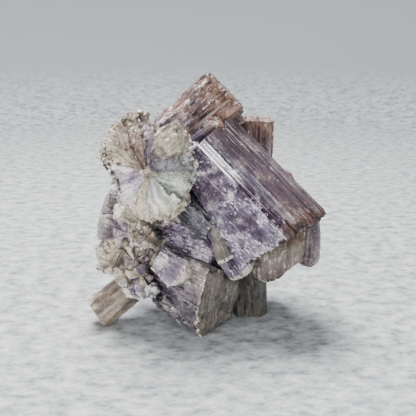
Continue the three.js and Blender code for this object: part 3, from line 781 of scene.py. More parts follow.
# sizes in mm, height in mm where wholly grainy, and pattern
waveSizes = (7, 7, 9)
prismGrains = [
    ("lumps", (1.7, 1.7, 2.2), 1.4, "VORONOI_F2_F1"),
    ("grains", (0.6, 0.6, 0.8), 0.6, "VORONOI_F1"),
]


def growPrism(name, prism, seed, tile=(0, 1)):
    prism = {**growDefaults, **prism}
    draw = random.Random(seed)
    if "section" not in prism:
        prism["section"] = unevenSection(prism["sides"], prism["radius"], draw)
    section, scale = prism["section"], prism["footScale"]
    prism.setdefault("footSection", [(x * scale, y * scale) for x, y in section])
    length = (Vector(prism["tip"]) - Vector(prism["foot"])).length
    radius = max(math.hypot(x, y) for x, y in section)
    cage = cutCage(prism, length)
    ringCount = max(5, round(radius / (2.2 * prism["fine"])))
    rings = [1 - 0.02 * i for i in (1, 2, 3)]
    rings += [0.93 * (1 - k / ringCount) + 0.02 for k in range(ringCount)]
    refineCage(cage, length, prism["fine"], prism["coarse"], rings)
    cage.name = cage.data.name = name
    mesh = cage.data
    laid = layOut(prism, coordsOf(mesh), length, radius)
    layMap(cage, laid, tile)
    wearStones(mesh, prism, length, seed)
    heights, steps = ledgesAndSteps(prism, laid, seed)
    pushAlong(cage, movesOf(prism, laid, heights, steps, seed))
    roughen(cage, "wave", waveSizes, prism["wave"], {"noise_depth": 1}, (0.1 * seed, 0.3, 0.7))
    for kind, sizes, height, basis in prismGrains if prism["grainy"] else []:
        roughen(cage, kind, sizes, height * prism["grainy"], {"noise_basis": basis})
    paintPrism(mesh, prism, laid, heights, steps, seed)
    setAttribute(mesh, "shade", "FLOAT", np.full(len(laid.points), draw.uniform(-1, 1)))
    intoPlace = Matrix.Translation(-middle * mm) @ Matrix.Scale(mm, 4)
    mesh.transform(intoPlace @ inFrame(prism) @ Matrix.Scale(1 / mm, 4))
    # a corner it stands on is worn flat
    points = coordsOf(mesh)
    points[:, 2] = points[:, 2].clip(0)
    mesh.vertices.foreach_set("co", points.ravel())
    mesh.update()
    pickOnly(cage)
    bpy.ops.object.shade_smooth_by_angle(angle=math.radians(24))
    return cage


def layOut(prism, points, length, radius):
    # where each vertex is: how far round the section, along the sides, and in from the end's rim
    laid = SimpleNamespace(points=points, length=length, radius=radius)
    laid.around, laid.total, laid.side = walkRound(points[:, :2], prism["section"])
    laid.reach = np.linalg.norm(points[:, :2], axis=1) / mm
    laid.onTop = points[:, 2] > (length - nearEnd) * mm
    laid.rimReach = np.interp(laid.around, *rimProfile(prism["section"], laid.total))
    laid.inward = np.where(laid.onTop, np.clip(laid.rimReach - laid.reach, 0, None), 0)
    laid.onEnd = laid.onTop & (laid.inward > 0.05)
    laid.endPlace = layEnd(prism, points[:, :2] / mm, laid.around, radius)
    return laid


def ledgesAndSteps(prism, laid, seed):
    # ledges along the sides stand out from them, steps on the end stand up from it
    along = laid.points[:, 2] / mm + laid.inward
    rise = bySide(prism, "sideRise", 1)[laid.side]
    heights = -0.5 * sum(most for _, _, most in prism["ledges"]) * rise
    for k, (width, stretch, most) in enumerate(prism["ledges"]):
        heights += most * rise * ledgeHeights(seed * 10 + k, laid.around, along, laid.total, width, stretch)
    steps = np.zeros(len(laid.points))
    for k, (width, stretch, most) in enumerate(prism["endSteps"]):
        across = float(laid.endPlace[:, 0].max()) + 1
        steps += most * ledgeHeights(seed * 10 + 3 + k, *laid.endPlace.T, across, width, stretch)
    steps *= np.where(rise < 1, rise, 1)
    return heights, steps - np.median(steps)


rimWear = {
    "columns": [(7, 1.3, 0.6), (8, 0.5, 0.4)],  # seed, width in mm and share of the wear
    "down": 2.6,  # how far down the sides it reaches, in mm
    "inward": 1.3,  # and in over the end
    "fingers": 0.34,  # width of the columns that the rim's own stone runs down, in mm
}
knit = {False: (0.8, 0), True: (0.4, 0.5)}  # by rosette: how far in the steps are whole, least share


def movesOf(prism, laid, heights, steps, seed):
    # every vertex's move in mm, out from its side and along the prism
    points, length, radius, onTop, inward = laid.points, laid.length, laid.radius, laid.onTop, laid.inward
    sector = sectorOf(prism, points[:, :2] / mm, laid.around)
    stand = bySide(prism, "endRise", 0)[sector]
    stand = stand + (bySide(prism, "endTilt", (0, 0))[sector] * points[:, :2] / mm).sum(axis=1)
    # broken columns at the rim
    broken = np.zeros(len(points))
    for k, width, share in rimWear["columns"]:
        columns = ledgeHeights(seed * 10 + k, laid.around, points[:, 0] * 0, laid.total, width, unbroken)
        broken += share * columns**2
    nearRim = np.clip(1 - (length - points[:, 2] / mm) / rimWear["down"], 0, 1)
    nearRim *= np.clip(1 - inward / rimWear["inward"], 0, 1)
    wholeAt, least = knit[prism["rosette"]]
    lift = np.where(onTop, (steps + stand) * np.clip(inward / wholeAt, least, 1), 0)
    lift -= prism["ragged"] * broken * nearRim
    share = points[:, 2] / (length * mm)
    slantX, slantY = prism["slant"]
    lift += share * (slantX * points[:, 0] + slantY * points[:, 1]) / mm
    lift -= share**2 * prism["bulge"] * (points[:, 0] / mm / radius) ** 2
    lift -= share * prism["cone"] * (1 - inward / laid.rimReach) * np.clip(laid.reach / laid.rimReach, 0, 1)
    normals = [sideNormal(prism["section"], k) for k in range(len(prism["section"]))]
    outward = np.array(normals)[laid.side]
    moves = np.where(laid.onEnd[:, None], 0, outward * heights[:, None])
    if prism["round"]:
        near = np.clip(1 - (length - points[:, 2] / mm) / prism["round"], 0, 1)
        moves -= points[:, :2] / mm * (prism["round"] * 0.8 * (1 - np.sqrt(1 - near**2)) / radius)[:, None]
    return np.column_stack([moves, lift])


def paintPrism(mesh, prism, laid, heights, steps, seed):
    # what the materials read: where a pattern runs, how near the tip, how high, how near an edge,
    # with the zones' crust added to it, which is partly painted highlights
    points, onTop, onEnd = laid.points, laid.onTop, laid.onEnd
    place = np.stack([laid.around, points[:, 2] / mm + laid.inward, np.full(len(points), float(seed))], 1)
    place[onEnd, :2] = laid.endPlace[onEnd]
    growth = points[:, 2] / (laid.length * mm)
    if prism["rosette"]:
        growth = np.where(onTop, 1 - laid.inward / laid.rimReach, growth)
    axes = inFrame(prism)
    crusted = np.zeros(len(points))
    # zones shift the colour towards the tip or the foot, and their crust paints white patches that are partly
    # painted highlights
    for at, size, nearer, crust in prism["zones"]:
        gap = np.linalg.norm(points / mm - np.array(axes.inverted() @ Vector(at)), axis=1)
        growth += nearer * np.exp(-((gap / size) ** 2))
        crusted += crust * np.exp(-((gap / size) ** 2))
    depth = [max(1, sum(most for _, _, most in prism[key]) / 1.5) for key in ("endSteps", "ledges")]
    relief = np.where(onEnd, steps / depth[0], heights / depth[1])
    for region in (onEnd, ~onEnd):
        relief[region] -= np.median(relief[region])
    starts = sidesOf(prism["section"])[3]
    cornerGap = np.abs(laid.around[:, None] - starts[None, :]).min(axis=1)
    rimGap = np.where(onTop, laid.inward, laid.length - points[:, 2] / mm)
    nearest = np.minimum(np.where(onTop, laid.inward, cornerGap), rimGap)
    setAttribute(mesh, "around", "FLOAT_VECTOR", place * mm)
    setAttribute(mesh, "growth", "FLOAT", np.clip(growth, 0, 1))
    setAttribute(mesh, "relief", "FLOAT", relief)
    setAttribute(mesh, "edge", "FLOAT", 0.6 * np.clip(1 - nearest / 1.1, 0, 1) + crusted)


def wearStones(mesh, prism, length, seed):
    # each face's stone: by side, on the end, and on the uneven columns that reach the rim
    flat = np.empty(len(mesh.polygons) * 3)
    mesh.polygons.foreach_get("center", flat)
    centres = flat.reshape(-1, 3)
    around, total, side = walkRound(centres[:, :2], prism["section"])
    onEnd = centres[:, 2] > (length - nearEnd) * mm
    names = {prism["stone"], prism["endStone"], prism["rimStone"]} - {None}
    names = sorted(names | {*prism["sideStones"].values(), *prism["endStones"].values()})
    byNumber = np.vectorize(names.index)
    index = byNumber(bySide(prism, "sideStones", prism["stone"]))[side]
    if prism["endStone"]:
        index[onEnd] = names.index(prism["endStone"])
    if prism["endStones"]:
        sector = sectorOf(prism, centres[:, :2] / mm, around)
        index[onEnd] = byNumber(bySide(prism, "endStones", prism["stone"]))[sector][onEnd]
    if prism["rimStone"]:
        fingers = ledgeHeights(seed * 10 + 9, around, around * 0, total, rimWear["fingers"], unbroken)
        deep = prism["rimWidth"] * (0.25 + 1.5 * fingers)
        onRim = length - centres[:, 2] / mm < deep
        if prism["rimSides"] is not None:
            onRim &= np.isin(side, prism["rimSides"])
        index[onRim & ~onEnd] = names.index(prism["rimStone"])
    for name in names:
        mesh.materials.append(stones[name])
    mesh.polygons.foreach_set("material_index", index.astype(np.int32))


def rimProfile(corners, total):
    # the section's reach at even steps round it
    corners, following, sides, starts = sidesOf(corners)
    walked = np.linspace(0, total, 241)
    which = np.clip(np.searchsorted(starts, walked, side="right") - 1, 0, len(corners) - 1)
    share = ((walked - starts[which]) / sides[which])[:, None]
    return walked, np.linalg.norm(corners[which] + share * (following[which] - corners[which]), axis=1)


def unevenSection(sides, radius, draw):
    corners = []
    for i in range(sides):
        angle = (i + 0.3 * draw.random()) / sides * 2 * math.pi
        reach = radius * (0.88 + 0.2 * draw.random())
        corners.append((reach * math.cos(angle), reach * math.sin(angle)))
    return corners


def joinPieces(name, parts):
    pickOnly(*parts)
    if len(parts) > 1:
        bpy.ops.object.join()
    whole = bpy.context.view_layer.objects.active
    whole.name = whole.data.name = name
    pieces.append(whole)
    print(name, len(whole.data.polygons))
    return whole


def growPiece(name, prisms, seed):
    rows = math.ceil(math.sqrt(len(prisms)))
    parts = [growPrism(f"{name}{k}", prism, seed + k, (k, rows)) for k, prism in enumerate(prisms)]
    return joinPieces(name, parts)


# The large prism: a broad violet face to the front left, a bright bevel, a mauve face above it.
mainPrism = {
    "foot": (-1, 1, 43.5), "tip": (19.5, -5, 23),
    "section": [
        (10.5, 1.5), (9.6, 4.4), (5.2, 8.7), (3.5, 10.05), (1.3, 11), (-11.3, 6), (-11.6, -1),
        (-6, -9), (4, -10), (10.3, -4.5),
    ],
    "footSection": [
        (10.3, 1.5), (9.4, 4.2), (5.2, 8.4), (3.5, 9.75), (1.3, 10.7), (-6, 7.2), (-7.6, 0),
        (-5, -8), (4, -8.5), (10, -4.5),
    ],
    "slant": (0.2, -0.05),
    "fine": 0.16,
    "coarse": 0.55,
    "ledges": [(3.2, 30, 0.6), (1.2, 12, 0.5), (0.5, 6, 0.25)],
    "sideRise": {1: 0.6, 2: 1.3, 3: 0.3, 4: 0.6, 5: 1.8},
    "wave": 0.15,
    "ragged": 2.4,
    # the crusted zones nearer the tip paint pale and white patches, partly painted glints; those nearer the
    # foot paint deep violet
    "zones": [
        ((0.4, -10, 34.4), 3, -0.7, -0.8),
        ((8.1, -13, 27.5), 2.2, -0.7, -0.8),
        ((-1.9, -9, 41), 2.4, 0.2, 0),
        ((6.9, -13, 32.6), 2, 0.6, 1),
        ((5.1, -12, 34.6), 2.2, 0.5, 0.2),
        ((9.2, -12, 23.2), 2.4, 0.3, 0.5),
        ((3, -11, 28.4), 1.8, 0.3, 0.5),
        ((15, -12, 23), 2.2, 0.5, 0.5),
        ((12, -12, 26.5), 2.4, -0.5, -0.5),
    ],
    "stone": "mauveAragonite",
    "sideStones": {2: "duskyAragonite", 3: "silkyAragonite", 4: "violetAragonite", 5: "slateAragonite"},
    "endStone": "rustFringe",
    "rimStone": "rustFringe",
    "rimWidth": 3,
    "rimSides": [0, 1, 2, 3, 8, 9],
}
# A thinner prism along its dark lower flank.
flankPrism = {
    "foot": (-10, -3, 36.5), "tip": (1.6, -7.2, 25.4),
    "section": [(4, 0.6), (2.4, 2.6), (-1.4, 2.8), (-3.6, 0.6), (-2.6, -4), (3, -4)],
    "stone": "slateAragonite",
    "sideStones": {3: "duskyAragonite"},
}
growPiece("mainPrism", [mainPrism, flankPrism], 3)

# The crown: the upper prism, with a stepped shoulder and a fringe of thinner prisms below it.
crownPrisms = [
    {
        "foot": (-13, 3, 40.5), "tip": (5.1, 3, 56.6),
        "section": [(5.9, 0), (4.9, 3.6), (1, 6.3), (-4.6, 5.6), (-6.3, 1), (-5, -5), (1, -6.5), (5, -4)],
        "slant": (-0.08, 0),
        "fine": 0.16,
        "ledges": [(2.6, 5, 1.5), (1, 2.6, 1), (0.42, 1.6, 0.45)],
        "ragged": 2.6,
        "wave": 1.2,
        "grainy": 0.3,
        # on the upper left the zones paint a white crust along the edge, partly painted highlights; at the
        # right they take the crust away
        "zones": [
            ((-3.4, -3, 56), 3, 0.1, 0.7),
            ((-8, -3, 50), 3.4, -0.2, 0.6),
            ((0, -3, 52), 3, 0.1, 0.4),
            ((6, -3, 51.5), 3.4, 0.3, -0.9),
            ((5, -3, 56), 2.4, 0.4, -0.8),
        ],
        "stone": "rustAragonite",
    },
    {
        "foot": (-2, 5, 43.5), "tip": (8.2, 5, 51.2),
        "section": [(2.8, 0.5), (1.5, 3), (-2.2, 2.4), (-3, -1), (-1, -4), (2.2, -3)],
        "ragged": 1.4,
        "stone": "rustAragonite",
    },
    {
        "foot": (-3, -2, 45), "tip": (4.2, -4, 50.2),
        "section": [(2.4, 0.6), (0.8, 1.9), (-1.6, 1.3), (-2.4, -1.4), (1.8, -2)],
        "ragged": 1.4,
        "stone": "rustAragonite",
    },
]
growPiece("crownPrisms", crownPrisms, 11)

# An upright block behind the large prism.
rearBlock = {
    "foot": (12, 10.5, 34), "tip": (12.1, 10.5, 49),
    "section": [(4.3, 3.6), (2, 5), (-3.4, 4.6), (-4.7, 3), (-4.4, -3.8), (0.5, -5.2), (4.5, -3.6)],
    "slant": (0.06, 0.02),
    "ragged": 0.5,
    "stone": "rustAragonite",
}
growPiece("rearBlock", [rearBlock], 17)

# A blunt crusted column under the large prism's low end, and a thinner one beside it.
underPrisms = [
    {
        "foot": (18.5, 2.5, 27), "tip": (17.6, 1.8, 11.8),
        "section": [(7, -1.5), (6, 3.6), (1, 4.8), (-5, 4.2), (-7.6, 1), (-6, -5), (2, -7)],
        "slant": (-0.42, 0),
        "ledges": [(4, 7, 0.8), (1.6, 4, 0.3)],
        "ragged": 0.3,
        "round": 3.4,
        "bulge": 1.6,
        "wave": 2,
        "grainy": 0.3,
        "stone": "rustyCrust",
    },
    {
        "foot": (26.2, 4, 28), "tip": (25, 3.2, 13.8),
        "section": [(3.2, 0.5), (1.6, 3.4), (-2.6, 3.2), (-3.6, -1.5), (0.5, -4.5), (3, -3)],
        "footScale": 0.6,
        "ragged": 0.1,
        "round": 2.6,
        "ledges": [(3, 9, 0.4), (1.2, 5, 0.12)],
        "wave": 1.3,
        "stone": "mauveAragonite",
    },
]
growPiece("underPrisms", underPrisms, 21)

# A prism that hangs from the large one's flank, and the splinter before it.
sidePrisms = [
    {
        "foot": (1, -6, 26.5), "tip": (9.6, -7.6, 15.2),
        "section": [(3.6, 0.5), (2.6, 3), (-2.2, 3.4), (-3.6, 0.8), (-2, -4), (3, -4)],
        "ragged": 0.6,
        "bulge": 1,
        "round": 1.6,
        "stone": "violetAragonite",
        "endStone": "creamAragonite",
        "rimStone": "creamAragonite",
        "rimWidth": 1,
    },
    {
        "foot": (1.4, -7.6, 27), "tip": (4.8, -10.2, 18.8),
        "section": [(1.9, 0.4), (1, 1.4), (-1.4, 1.3), (-2, -0.4), (-0.4, -2.6), (1.6, -2)],
        "footScale": 1,
        "ragged": 1.2,
        "endSteps": [(0.8, 2, 0.5)],
        "grainy": 0.2,
        "stone": "greyAragonite",
        "endStone": "creamAragonite",
        "rimStone": "creamAragonite",
        "rimWidth": 0.7,
    },
]
growPiece("sidePrisms", sidePrisms, 25)

# The low front prism, and the dark one above it.
lowerPrisms = [
    {
        "foot": (-8.6, 1, 13), "tip": (3.4, -8.1, 9.2),
        "section": [
            (7.8, 7.6), (2.8, 8.1), (-2.4, 6.8), (-8, 3.6), (-10.7, 0.6), (-7, -9.6),
            (2.6, -8.8), (6, -1),
        ],
        "footScale": 0.93,
        "ledges": [(2.8, 9, 1.1), (1.1, 5, 0.8), (0.45, 3, 0.3)],
        "endSteps": [(2.4, 6, 0.9), (1.1, 1.8, 0.4), (0.5, 0.8, 0.2)],
        "endTurn": 75,
        "ragged": 1.8,
        "grainy": 0.12,
        "stone": "duskyAragonite",
        "sideStones": {2: "scalyAragonite", 3: "scalyAragonite", 4: "scalyAragonite"},
        # the crusted zones paint white flakes on the front, partly real flakes and partly painted highlights
        "zones": [
            ((-13, -10, 9.5), 3, 0.2, 0.7),
            ((-2.4, -12, 18), 3, 0.6, 0.6),
            ((-15, -9, 13), 3, 0.3, 0.8),
        ],
        "endStone": "greyAragonite",
        "rimStone": "drusyCrust",
        "rimWidth": 0.8,
    },
    {
        "foot": (-12, 0, 23.5), "tip": (2.6, -5.6, 20.4),
        "section": [(4.4, -0.6), (3.6, 0.8), (-3.9, 3.5), (-4.6, -2), (0, -6), (4, -5)],
        "ragged": 0.8,
        # the first zone paints a white patch on the prism's top, a painted highlight
        "zones": [((0, -8, 22.4), 1.8, 0.6, 1.6), ((-6, -6, 24), 5, 0.5, -0.3)],
        "stone": "violetAragonite",
    },
]
growPiece("lowerPrisms", lowerPrisms, 31)

# The legs that it stands on at the left and behind.
oliveLeg = {
    "foot": (-17, 1.5, 10.3), "tip": (-26.5, -2.4, 3.1),
    "section": [(4.5, 0.6), (2.6, 3.6), (-1.8, 4), (-4.2, 1.2), (-3, -3.2), (2.2, -3.8)],
    "slant": (0.04, 0.1),
    "ragged": 0.8,
    "stone": "tanAragonite",
}
growPiece("oliveLeg", [oliveLeg], 37)

rearLeg = {
    "foot": (10.8, 7, 18), "tip": (11.4, 6.6, 0.2),
    "endStone": "greyAragonite",
    "section": [(4.2, 1.5), (2.6, 4.6), (-3.4, 4.7), (-4.4, -0.5), (-2.5, -4.8), (3, -4.4)],
    "ragged": 0,
    "stone": "dimAragonite",
    "sideStones": {4: "tanAragonite"},
}
growPiece("rearLeg", [rearLeg], 41)

# Small prisms at the left, half under the crusts.
leftPrisms = [
    {
        "foot": (-15, 0, 22.5), "tip": (-24.8, -3.6, 25.6),
        "section": [(3.3, 0.6), (1.8, 2.7), (-1.6, 2.6), (-3.2, 0.4), (-1.8, -3), (1.8, -3)],
        "stone": "duskyAragonite",
    },
    {
        "foot": (-14, 3, 26), "tip": (-24, 2, 30.4),
        "section": [(3.4, 0.5), (1.6, 2.9), (-2, 2.6), (-3.2, -0.6), (0.5, -3.2)],
        "stone": "scalyAragonite",
    },
    {
        "foot": (-14, -1, 25), "tip": (-20.4, -5, 30),
        "section": [(2.2, 0.6), (0.8, 2.2), (-1.8, 1.6), (-2.2, -1), (0.6, -2.4)],
        "grainy": 0.3,
        "stone": "creamAragonite",
    },
]
growPiece("leftPrisms", leftPrisms, 45)

# The far side's prisms, of the same habit.
backPrisms = [
    {"foot": (-3, 5, 38), "tip": (-6.5, 17, 47), "radius": 6, "stone": "mauveAragonite"},
    {"foot": (2, 4, 28), "tip": (4, 22, 29), "radius": 8.4, "stone": "violetAragonite"},
    {"foot": (8, 6, 28), "tip": (20.5, 15.5, 31), "radius": 5.6, "stone": "rustAragonite"},
    {"foot": (-7, 5, 31), "tip": (-19.5, 14.5, 33.5), "radius": 6.2, "stone": "mauveAragonite"},
    {"foot": (8, 8, 20), "tip": (17.6, 17, 14.5), "radius": 5.3, "stone": "tanAragonite"},
    {"foot": (-8, 6, 20), "tip": (-19, 14, 17), "radius": 5.4, "stone": "lilacAragonite"},
    {"foot": (-3, 8, 18), "tip": (-6, 18.5, 2), "radius": 6.5, "stone": "tanAragonite"},
]
for prism in backPrisms:
    prism.update({"sides": 6, "front": (0, 0, 1), "fine": 0.22})
growPiece("backPrisms", backPrisms, 51)

# The rosette: a trilled crystal seen on its end, its sectors fanning out from one hub.
rosette = [
    {
        "foot": (-11.7, -5.4, 39.2), "tip": (-12.6, -12.6, 40.4),
        "front": (0, 0, 1),
        "section": [
            (8.6, 0.6), (7.4, 4.8), (4.2, 7.8), (1.6, 10.6), (-2.2, 12.8), (-5.4, 12.8),
            (-9.4, 9.4), (-11.4, 5.6), (-11, 2.6), (-8.6, -2.2), (-6.6, -6.2), (-3.2, -9.2),
            (1.2, -10.6), (5.4, -10.2), (8.8, -7.2), (9.4, -3.2),
        ],
        "footScale": 0.62,
        "fine": 0.17,
        "coarse": 0.4,
        "rosette": True,
        "cone": 2,
        "ledges": [(2.6, 4, 1.9), (1.3, 2.4, 1), (0.6, 1.4, 0.4)],
        "endSteps": [(3, 7, 1.0), (1.3, 4, 0.6), (0.6, 2.4, 0.3)],
        "endRise": {
            0: -1.2, 1: -1.4, 2: -1, 4: 0.9, 5: 0.6, 6: 1.5, 7: 1.6, 11: 0.6, 14: -0.4, 15: -0.6,
        },
        "endTilt": {
            **dict.fromkeys((0, 1), (0, 0.14)),
            **dict.fromkeys((2, 3), (0.1, -0.05)),
            **dict.fromkeys((6, 7), (0.08, -0.14)),
            **dict.fromkeys((8, 9, 10), (0.12, -0.22)),
            **dict.fromkeys((11, 12, 13), (-0.05, -0.4)),
            **dict.fromkeys((14, 15), (0, -0.1)),
        },
        "ragged": 1.6,
        "wave": 3,
        "grainy": 0.34,
        "sideRise": {12: 0.7, 13: 0.6, 14: 0.6, 15: 0.6},
        "stone": "creamAragonite",
        "sideStones": {0: "clearAragonite", 3: "tanAragonite", 4: "tanAragonite", 13: "milkyAragonite"},
        "endStones": {
            **dict.fromkeys((0, 1), "clearAragonite"),
            **dict.fromkeys((2, 3), "lilacAragonite"),
            **dict.fromkeys((4, 5), "fawnAragonite"),
            **dict.fromkeys((8, 9, 10), "paleLilacAragonite"),
            **dict.fromkeys((12, 13), "milkyAragonite"),
            **dict.fromkeys((14, 15), "glassyAragonite"),
        },
    },
    {"foot": (-6, 3, 37), "tip": (-12.4, -7, 40.8), "sides": 7, "radius": 7.2, "stone": "greyAragonite"},
]
rosettePiece = growPiece("rosette", rosette, 71)

# Plates and blocks on the larger prisms.
plates = {
    "lilacPlate": {
        "foot": (-10.6, -9.4, 19.6), "tip": (-3.9, -12.9, 15.6),
        "section": [
            (3.6, -1), (3.9, 0.6), (2.6, 2), (0.4, 2.8), (-2, 2.5), (-4, 1.4), (-4.8, -0.4),
            (-3.6, -2.6), (2.4, -3),
        ],
        "footScale": 0.62,
        "fine": 0.16,
        "ledges": [(1.8, 5, 0.6), (0.8, 3, 0.4), (0.4, 2, 0.15)],
        "wave": 1,
        "ragged": 1.2,
        "bulge": 2.6,
        "round": 1.2,
        # the first zone paints white glitter at the plate's upper left, partly painted glints; the second
        # deepens its violet
        "zones": [((-9.6, -12, 19.4), 1.8, 0.3, 0.9), ((-7, -13, 16.6), 2.2, -0.3, -0.4)],
        "stone": "lilacAragonite",
        "rimStone": "creamAragonite",
        "rimWidth": 0.9,
        "endStone": "creamAragonite",
    },
    "tanBlock": {
        "foot": (-9.4, -8.2, 45.4), "tip": (-6.2, -13.4, 48.6),
        "section": [(3.6, 0.6), (2.4, 2.8), (-1.6, 3.2), (-3.9, 0.6), (-2.4, -2.8), (2.2, -3.4)],
        "footScale": 1.05,
        "fine": 0.16,
        "coarse": 0.3,
        "ledges": [(1.8, 2.4, 1.2), (0.8, 1.2, 0.5)],
        "endSteps": [(2, 2.4, 1.2), (0.8, 1.4, 0.5)],
        "ragged": 0.6,
        "grainy": 0.35,
        "bulge": 0.6,
        "sideStones": {3: "tanAragonite", 4: "tanAragonite", 5: "tanAragonite"},
        "stone": "drusyCrust",
        "endStone": "drusyCrust",
        "rimStone": "creamAragonite",
        "rimWidth": 0.9,
    },
}
for k, (name, plate) in enumerate(plates.items()):
    growPiece(name, [plate], 91 + k)


# Crusts of small crystals cover the joins between the prisms. Each is grown from copies of one
# stubby six-sided blade, one long, with a slanted end.
def cutBlade():
    clearPick()
    bpy.ops.mesh.primitive_cube_add(size=1, location=(0, 0, 0))
    blade = bpy.context.object
    bpy.ops.object.mode_set(mode="EDIT")
    bpy.ops.mesh.select_all(action="SELECT")
    bpy.ops.transform.resize(value=(0.9, 0.5, 1.5), center_override=(0, 0, 0))
    pickEdges(blade, lambda edge: abs(edge.verts[0].co.z - edge.verts[1].co.z) > 0.5)
    bpy.ops.mesh.bevel(offset=0.2, affect="EDGES")
    for plane, facing in (((0, 0, 0.6), (0.35, 0.2, 1)), ((0, 0, 0.62), (-0.5, -0.35, 1))):
        bpy.ops.mesh.select_all(action="SELECT")
        bpy.ops.mesh.bisect(plane_co=plane, plane_no=facing, use_fill=True, clear_outer=True)
    bpy.ops.mesh.select_all(action="SELECT")
    bpy.ops.mesh.bevel(offset=0.035, affect="EDGES")
    bpy.ops.mesh.select_all(action="SELECT")
    bpy.ops.uv.smart_project(angle_limit=math.radians(60), island_margin=0.02)
    bpy.ops.object.mode_set(mode="OBJECT")
    blade.data.uv_layers[0].name = "OFBake"
    return blade


def surfaceSpots(item, count, seed, test):
    # places on a piece's surface, spread by area, where the test holds
    centres, normals, areas = [], [], []
    for polygon in item.data.polygons:
        if test(polygon.center / mm + middle, polygon.normal):
            centres.append(polygon.center.copy())
            normals.append(polygon.normal.copy())
            areas.append(polygon.area)
    draw = np.random.default_rng(seed)
    share = np.array(areas) / sum(areas)
    return [(centres[k], normals[k]) for k in draw.choice(len(areas), count, p=share)]


druse = {
    "lean": 0.7,  # how far a blade leans from the surface it stands on
    "widen": [(0.7, 1.3), (0.6, 1.2), (0.6, 1.3)],  # least and most, by axis
}


def growDruse(name, spots, size, stoneNames, seed):
    # small blades standing on these spots, each leaning its own way
    draw = random.Random(seed)
    template = cutBlade()
    rows = math.ceil(math.sqrt(len(spots)))
    blades = []
    for k, (centre, normal) in enumerate(spots):
        blade = template.copy()
        blade.data = template.data.copy()
        bpy.context.collection.objects.link(blade)
        mesh = blade.data
        axis = (normal + druse["lean"] * Vector([draw.uniform(-1, 1) for _ in range(3)])).normalized()
        turn = axis.to_track_quat("Z", "Y") @ Quaternion((0, 0, 1), draw.uniform(0, 6.3))
        grown = draw.uniform(*size) * mm
        points = coordsOf(mesh)
        around = np.stack([points[:, 0] + points[:, 1], points[:, 2], points[:, 0] * 0 + k], 1)
        setAttribute(mesh, "around", "FLOAT_VECTOR", around * grown)
        setAttribute(mesh, "growth", "FLOAT", np.clip(0.5 + 0.6 * points[:, 2], 0, 1))
        for attribute, value in (("relief", 0.1), ("shade", draw.uniform(-1, 1)), ("edge", 0.3)):
            setAttribute(mesh, attribute, "FLOAT", np.full(len(points), value))
        layer = mesh.uv_layers["OFBake"]
        flat = np.empty(len(mesh.loops) * 2)
        layer.uv.foreach_get("vector", flat)
        tile = (flat.reshape(-1, 2) + [k % rows, k // rows]) / rows
        layer.uv.foreach_set("vector", tile.ravel())
        widen = Vector([draw.uniform(*span) for span in druse["widen"]]) * grown
        mesh.transform(Matrix.LocRotScale(centre, turn, widen))
        mesh.materials.append(stones[draw.choice(stoneNames)])
        blades.append(blade)
    bpy.data.objects.remove(template)
    return joinPieces(name, blades)


# Fans of flat blades that spread from a point over an arc, in degrees round the way they face.
fans = [
    {
        "at": (-21.6, -6.4, 17.2), "face": (-0.3, -0.9, 0.1), "reach": 3.8, "arc": (60, 300), "count": 13,
        "stones": ["tanAragonite", "creamAragonite", "creamAragonite"],
    },
    {
        "at": (-20.6, -6, 21), "face": (-0.4, -0.8, 0.5), "reach": 2.8, "arc": (0, 220), "count": 10,
        "stones": ["creamAragonite", "tanAragonite"],
    },
    {
        "at": (-16.4, -7.8, 18.4), "face": (0.1, -1, 0.2), "reach": 3.2, "arc": (0, 250), "count": 11,
        "stones": ["tanAragonite", "creamAragonite", "duskyAragonite"],
    },
    {
        "at": (-18, -6, 24.4), "face": (-0.1, -0.8, 0.5), "reach": 4.2, "arc": (90, 240), "count": 10,
        "stones": ["duskyAragonite", "lilacAragonite"],
    },
    {
        "at": (-13.6, -7.4, 23.6), "face": (0.1, -0.9, 0.4), "reach": 3.2, "arc": (20, 200), "count": 9,
        "stones": ["tanAragonite", "duskyAragonite"],
    },
    {
        "at": (-19, -6.4, 14.4), "face": (-0.1, -1, -0.2), "reach": 2.6, "arc": (150, 380), "count": 9,
        "stones": ["creamAragonite", "tanAragonite"],
    },
    {
        "at": (-15, -7, 14.6), "face": (0, -1, 0.1), "reach": 2.8, "arc": (90, 330), "count": 9,
        "stones": ["duskyAragonite", "creamAragonite"],
    },
]


def fanBlades(fan, seed):
    draw = random.Random(seed)
    at, face = Vector(fan["at"]), Vector(fan["face"]).normalized()
    across = Vector((1, 0, 0))
    across = (across - face * across.dot(face)).normalized()
    blades = []
    for k in range(fan["count"]):
        spread = fan["arc"][1] - fan["arc"][0]
        angle = math.radians(fan["arc"][0] + spread * (k + draw.uniform(0.1, 0.9)) / fan["count"])
        out = Quaternion(-face, -angle) @ across
        reach = fan["reach"] * draw.uniform(0.55, 1.2)
        half = draw.uniform(0.4, 1.4)
        narrow = 0.4 * half
        section = [(half, -2), (half, -0.4), (narrow, 0.3), (-narrow, 0.2), (-half, -0.5), (-half, -2)]
        blades.append(
            {
                "foot": at + face * draw.uniform(-1, 0.2) - out * draw.uniform(0, 1.2),
                "tip": at + out * reach + face * draw.uniform(-1.6, 1.6),
                "front": face + 0.7 * Vector([draw.uniform(-1, 1) for _ in range(3)]),
                "section": section,
                "footSection": [(0.45 * x, y) for x, y in section],
                "fine": 0.24,
                "coarse": 0.5,
                "ledges": [(1, 3, 0.4), (0.45, 2, 0.2)],
                "endSteps": [(0.8, 2, 0.4)],
                "ragged": 0.9,
                "bulge": draw.uniform(0.2, 1),
                "wave": 0.6,
                "stone": draw.choice(fan["stones"]),
            }
        )
    return blades


for k, fan in enumerate(fans):
    growPiece(f"fan{k}", fanBlades(fan, k + 5), 300 + 20 * k)

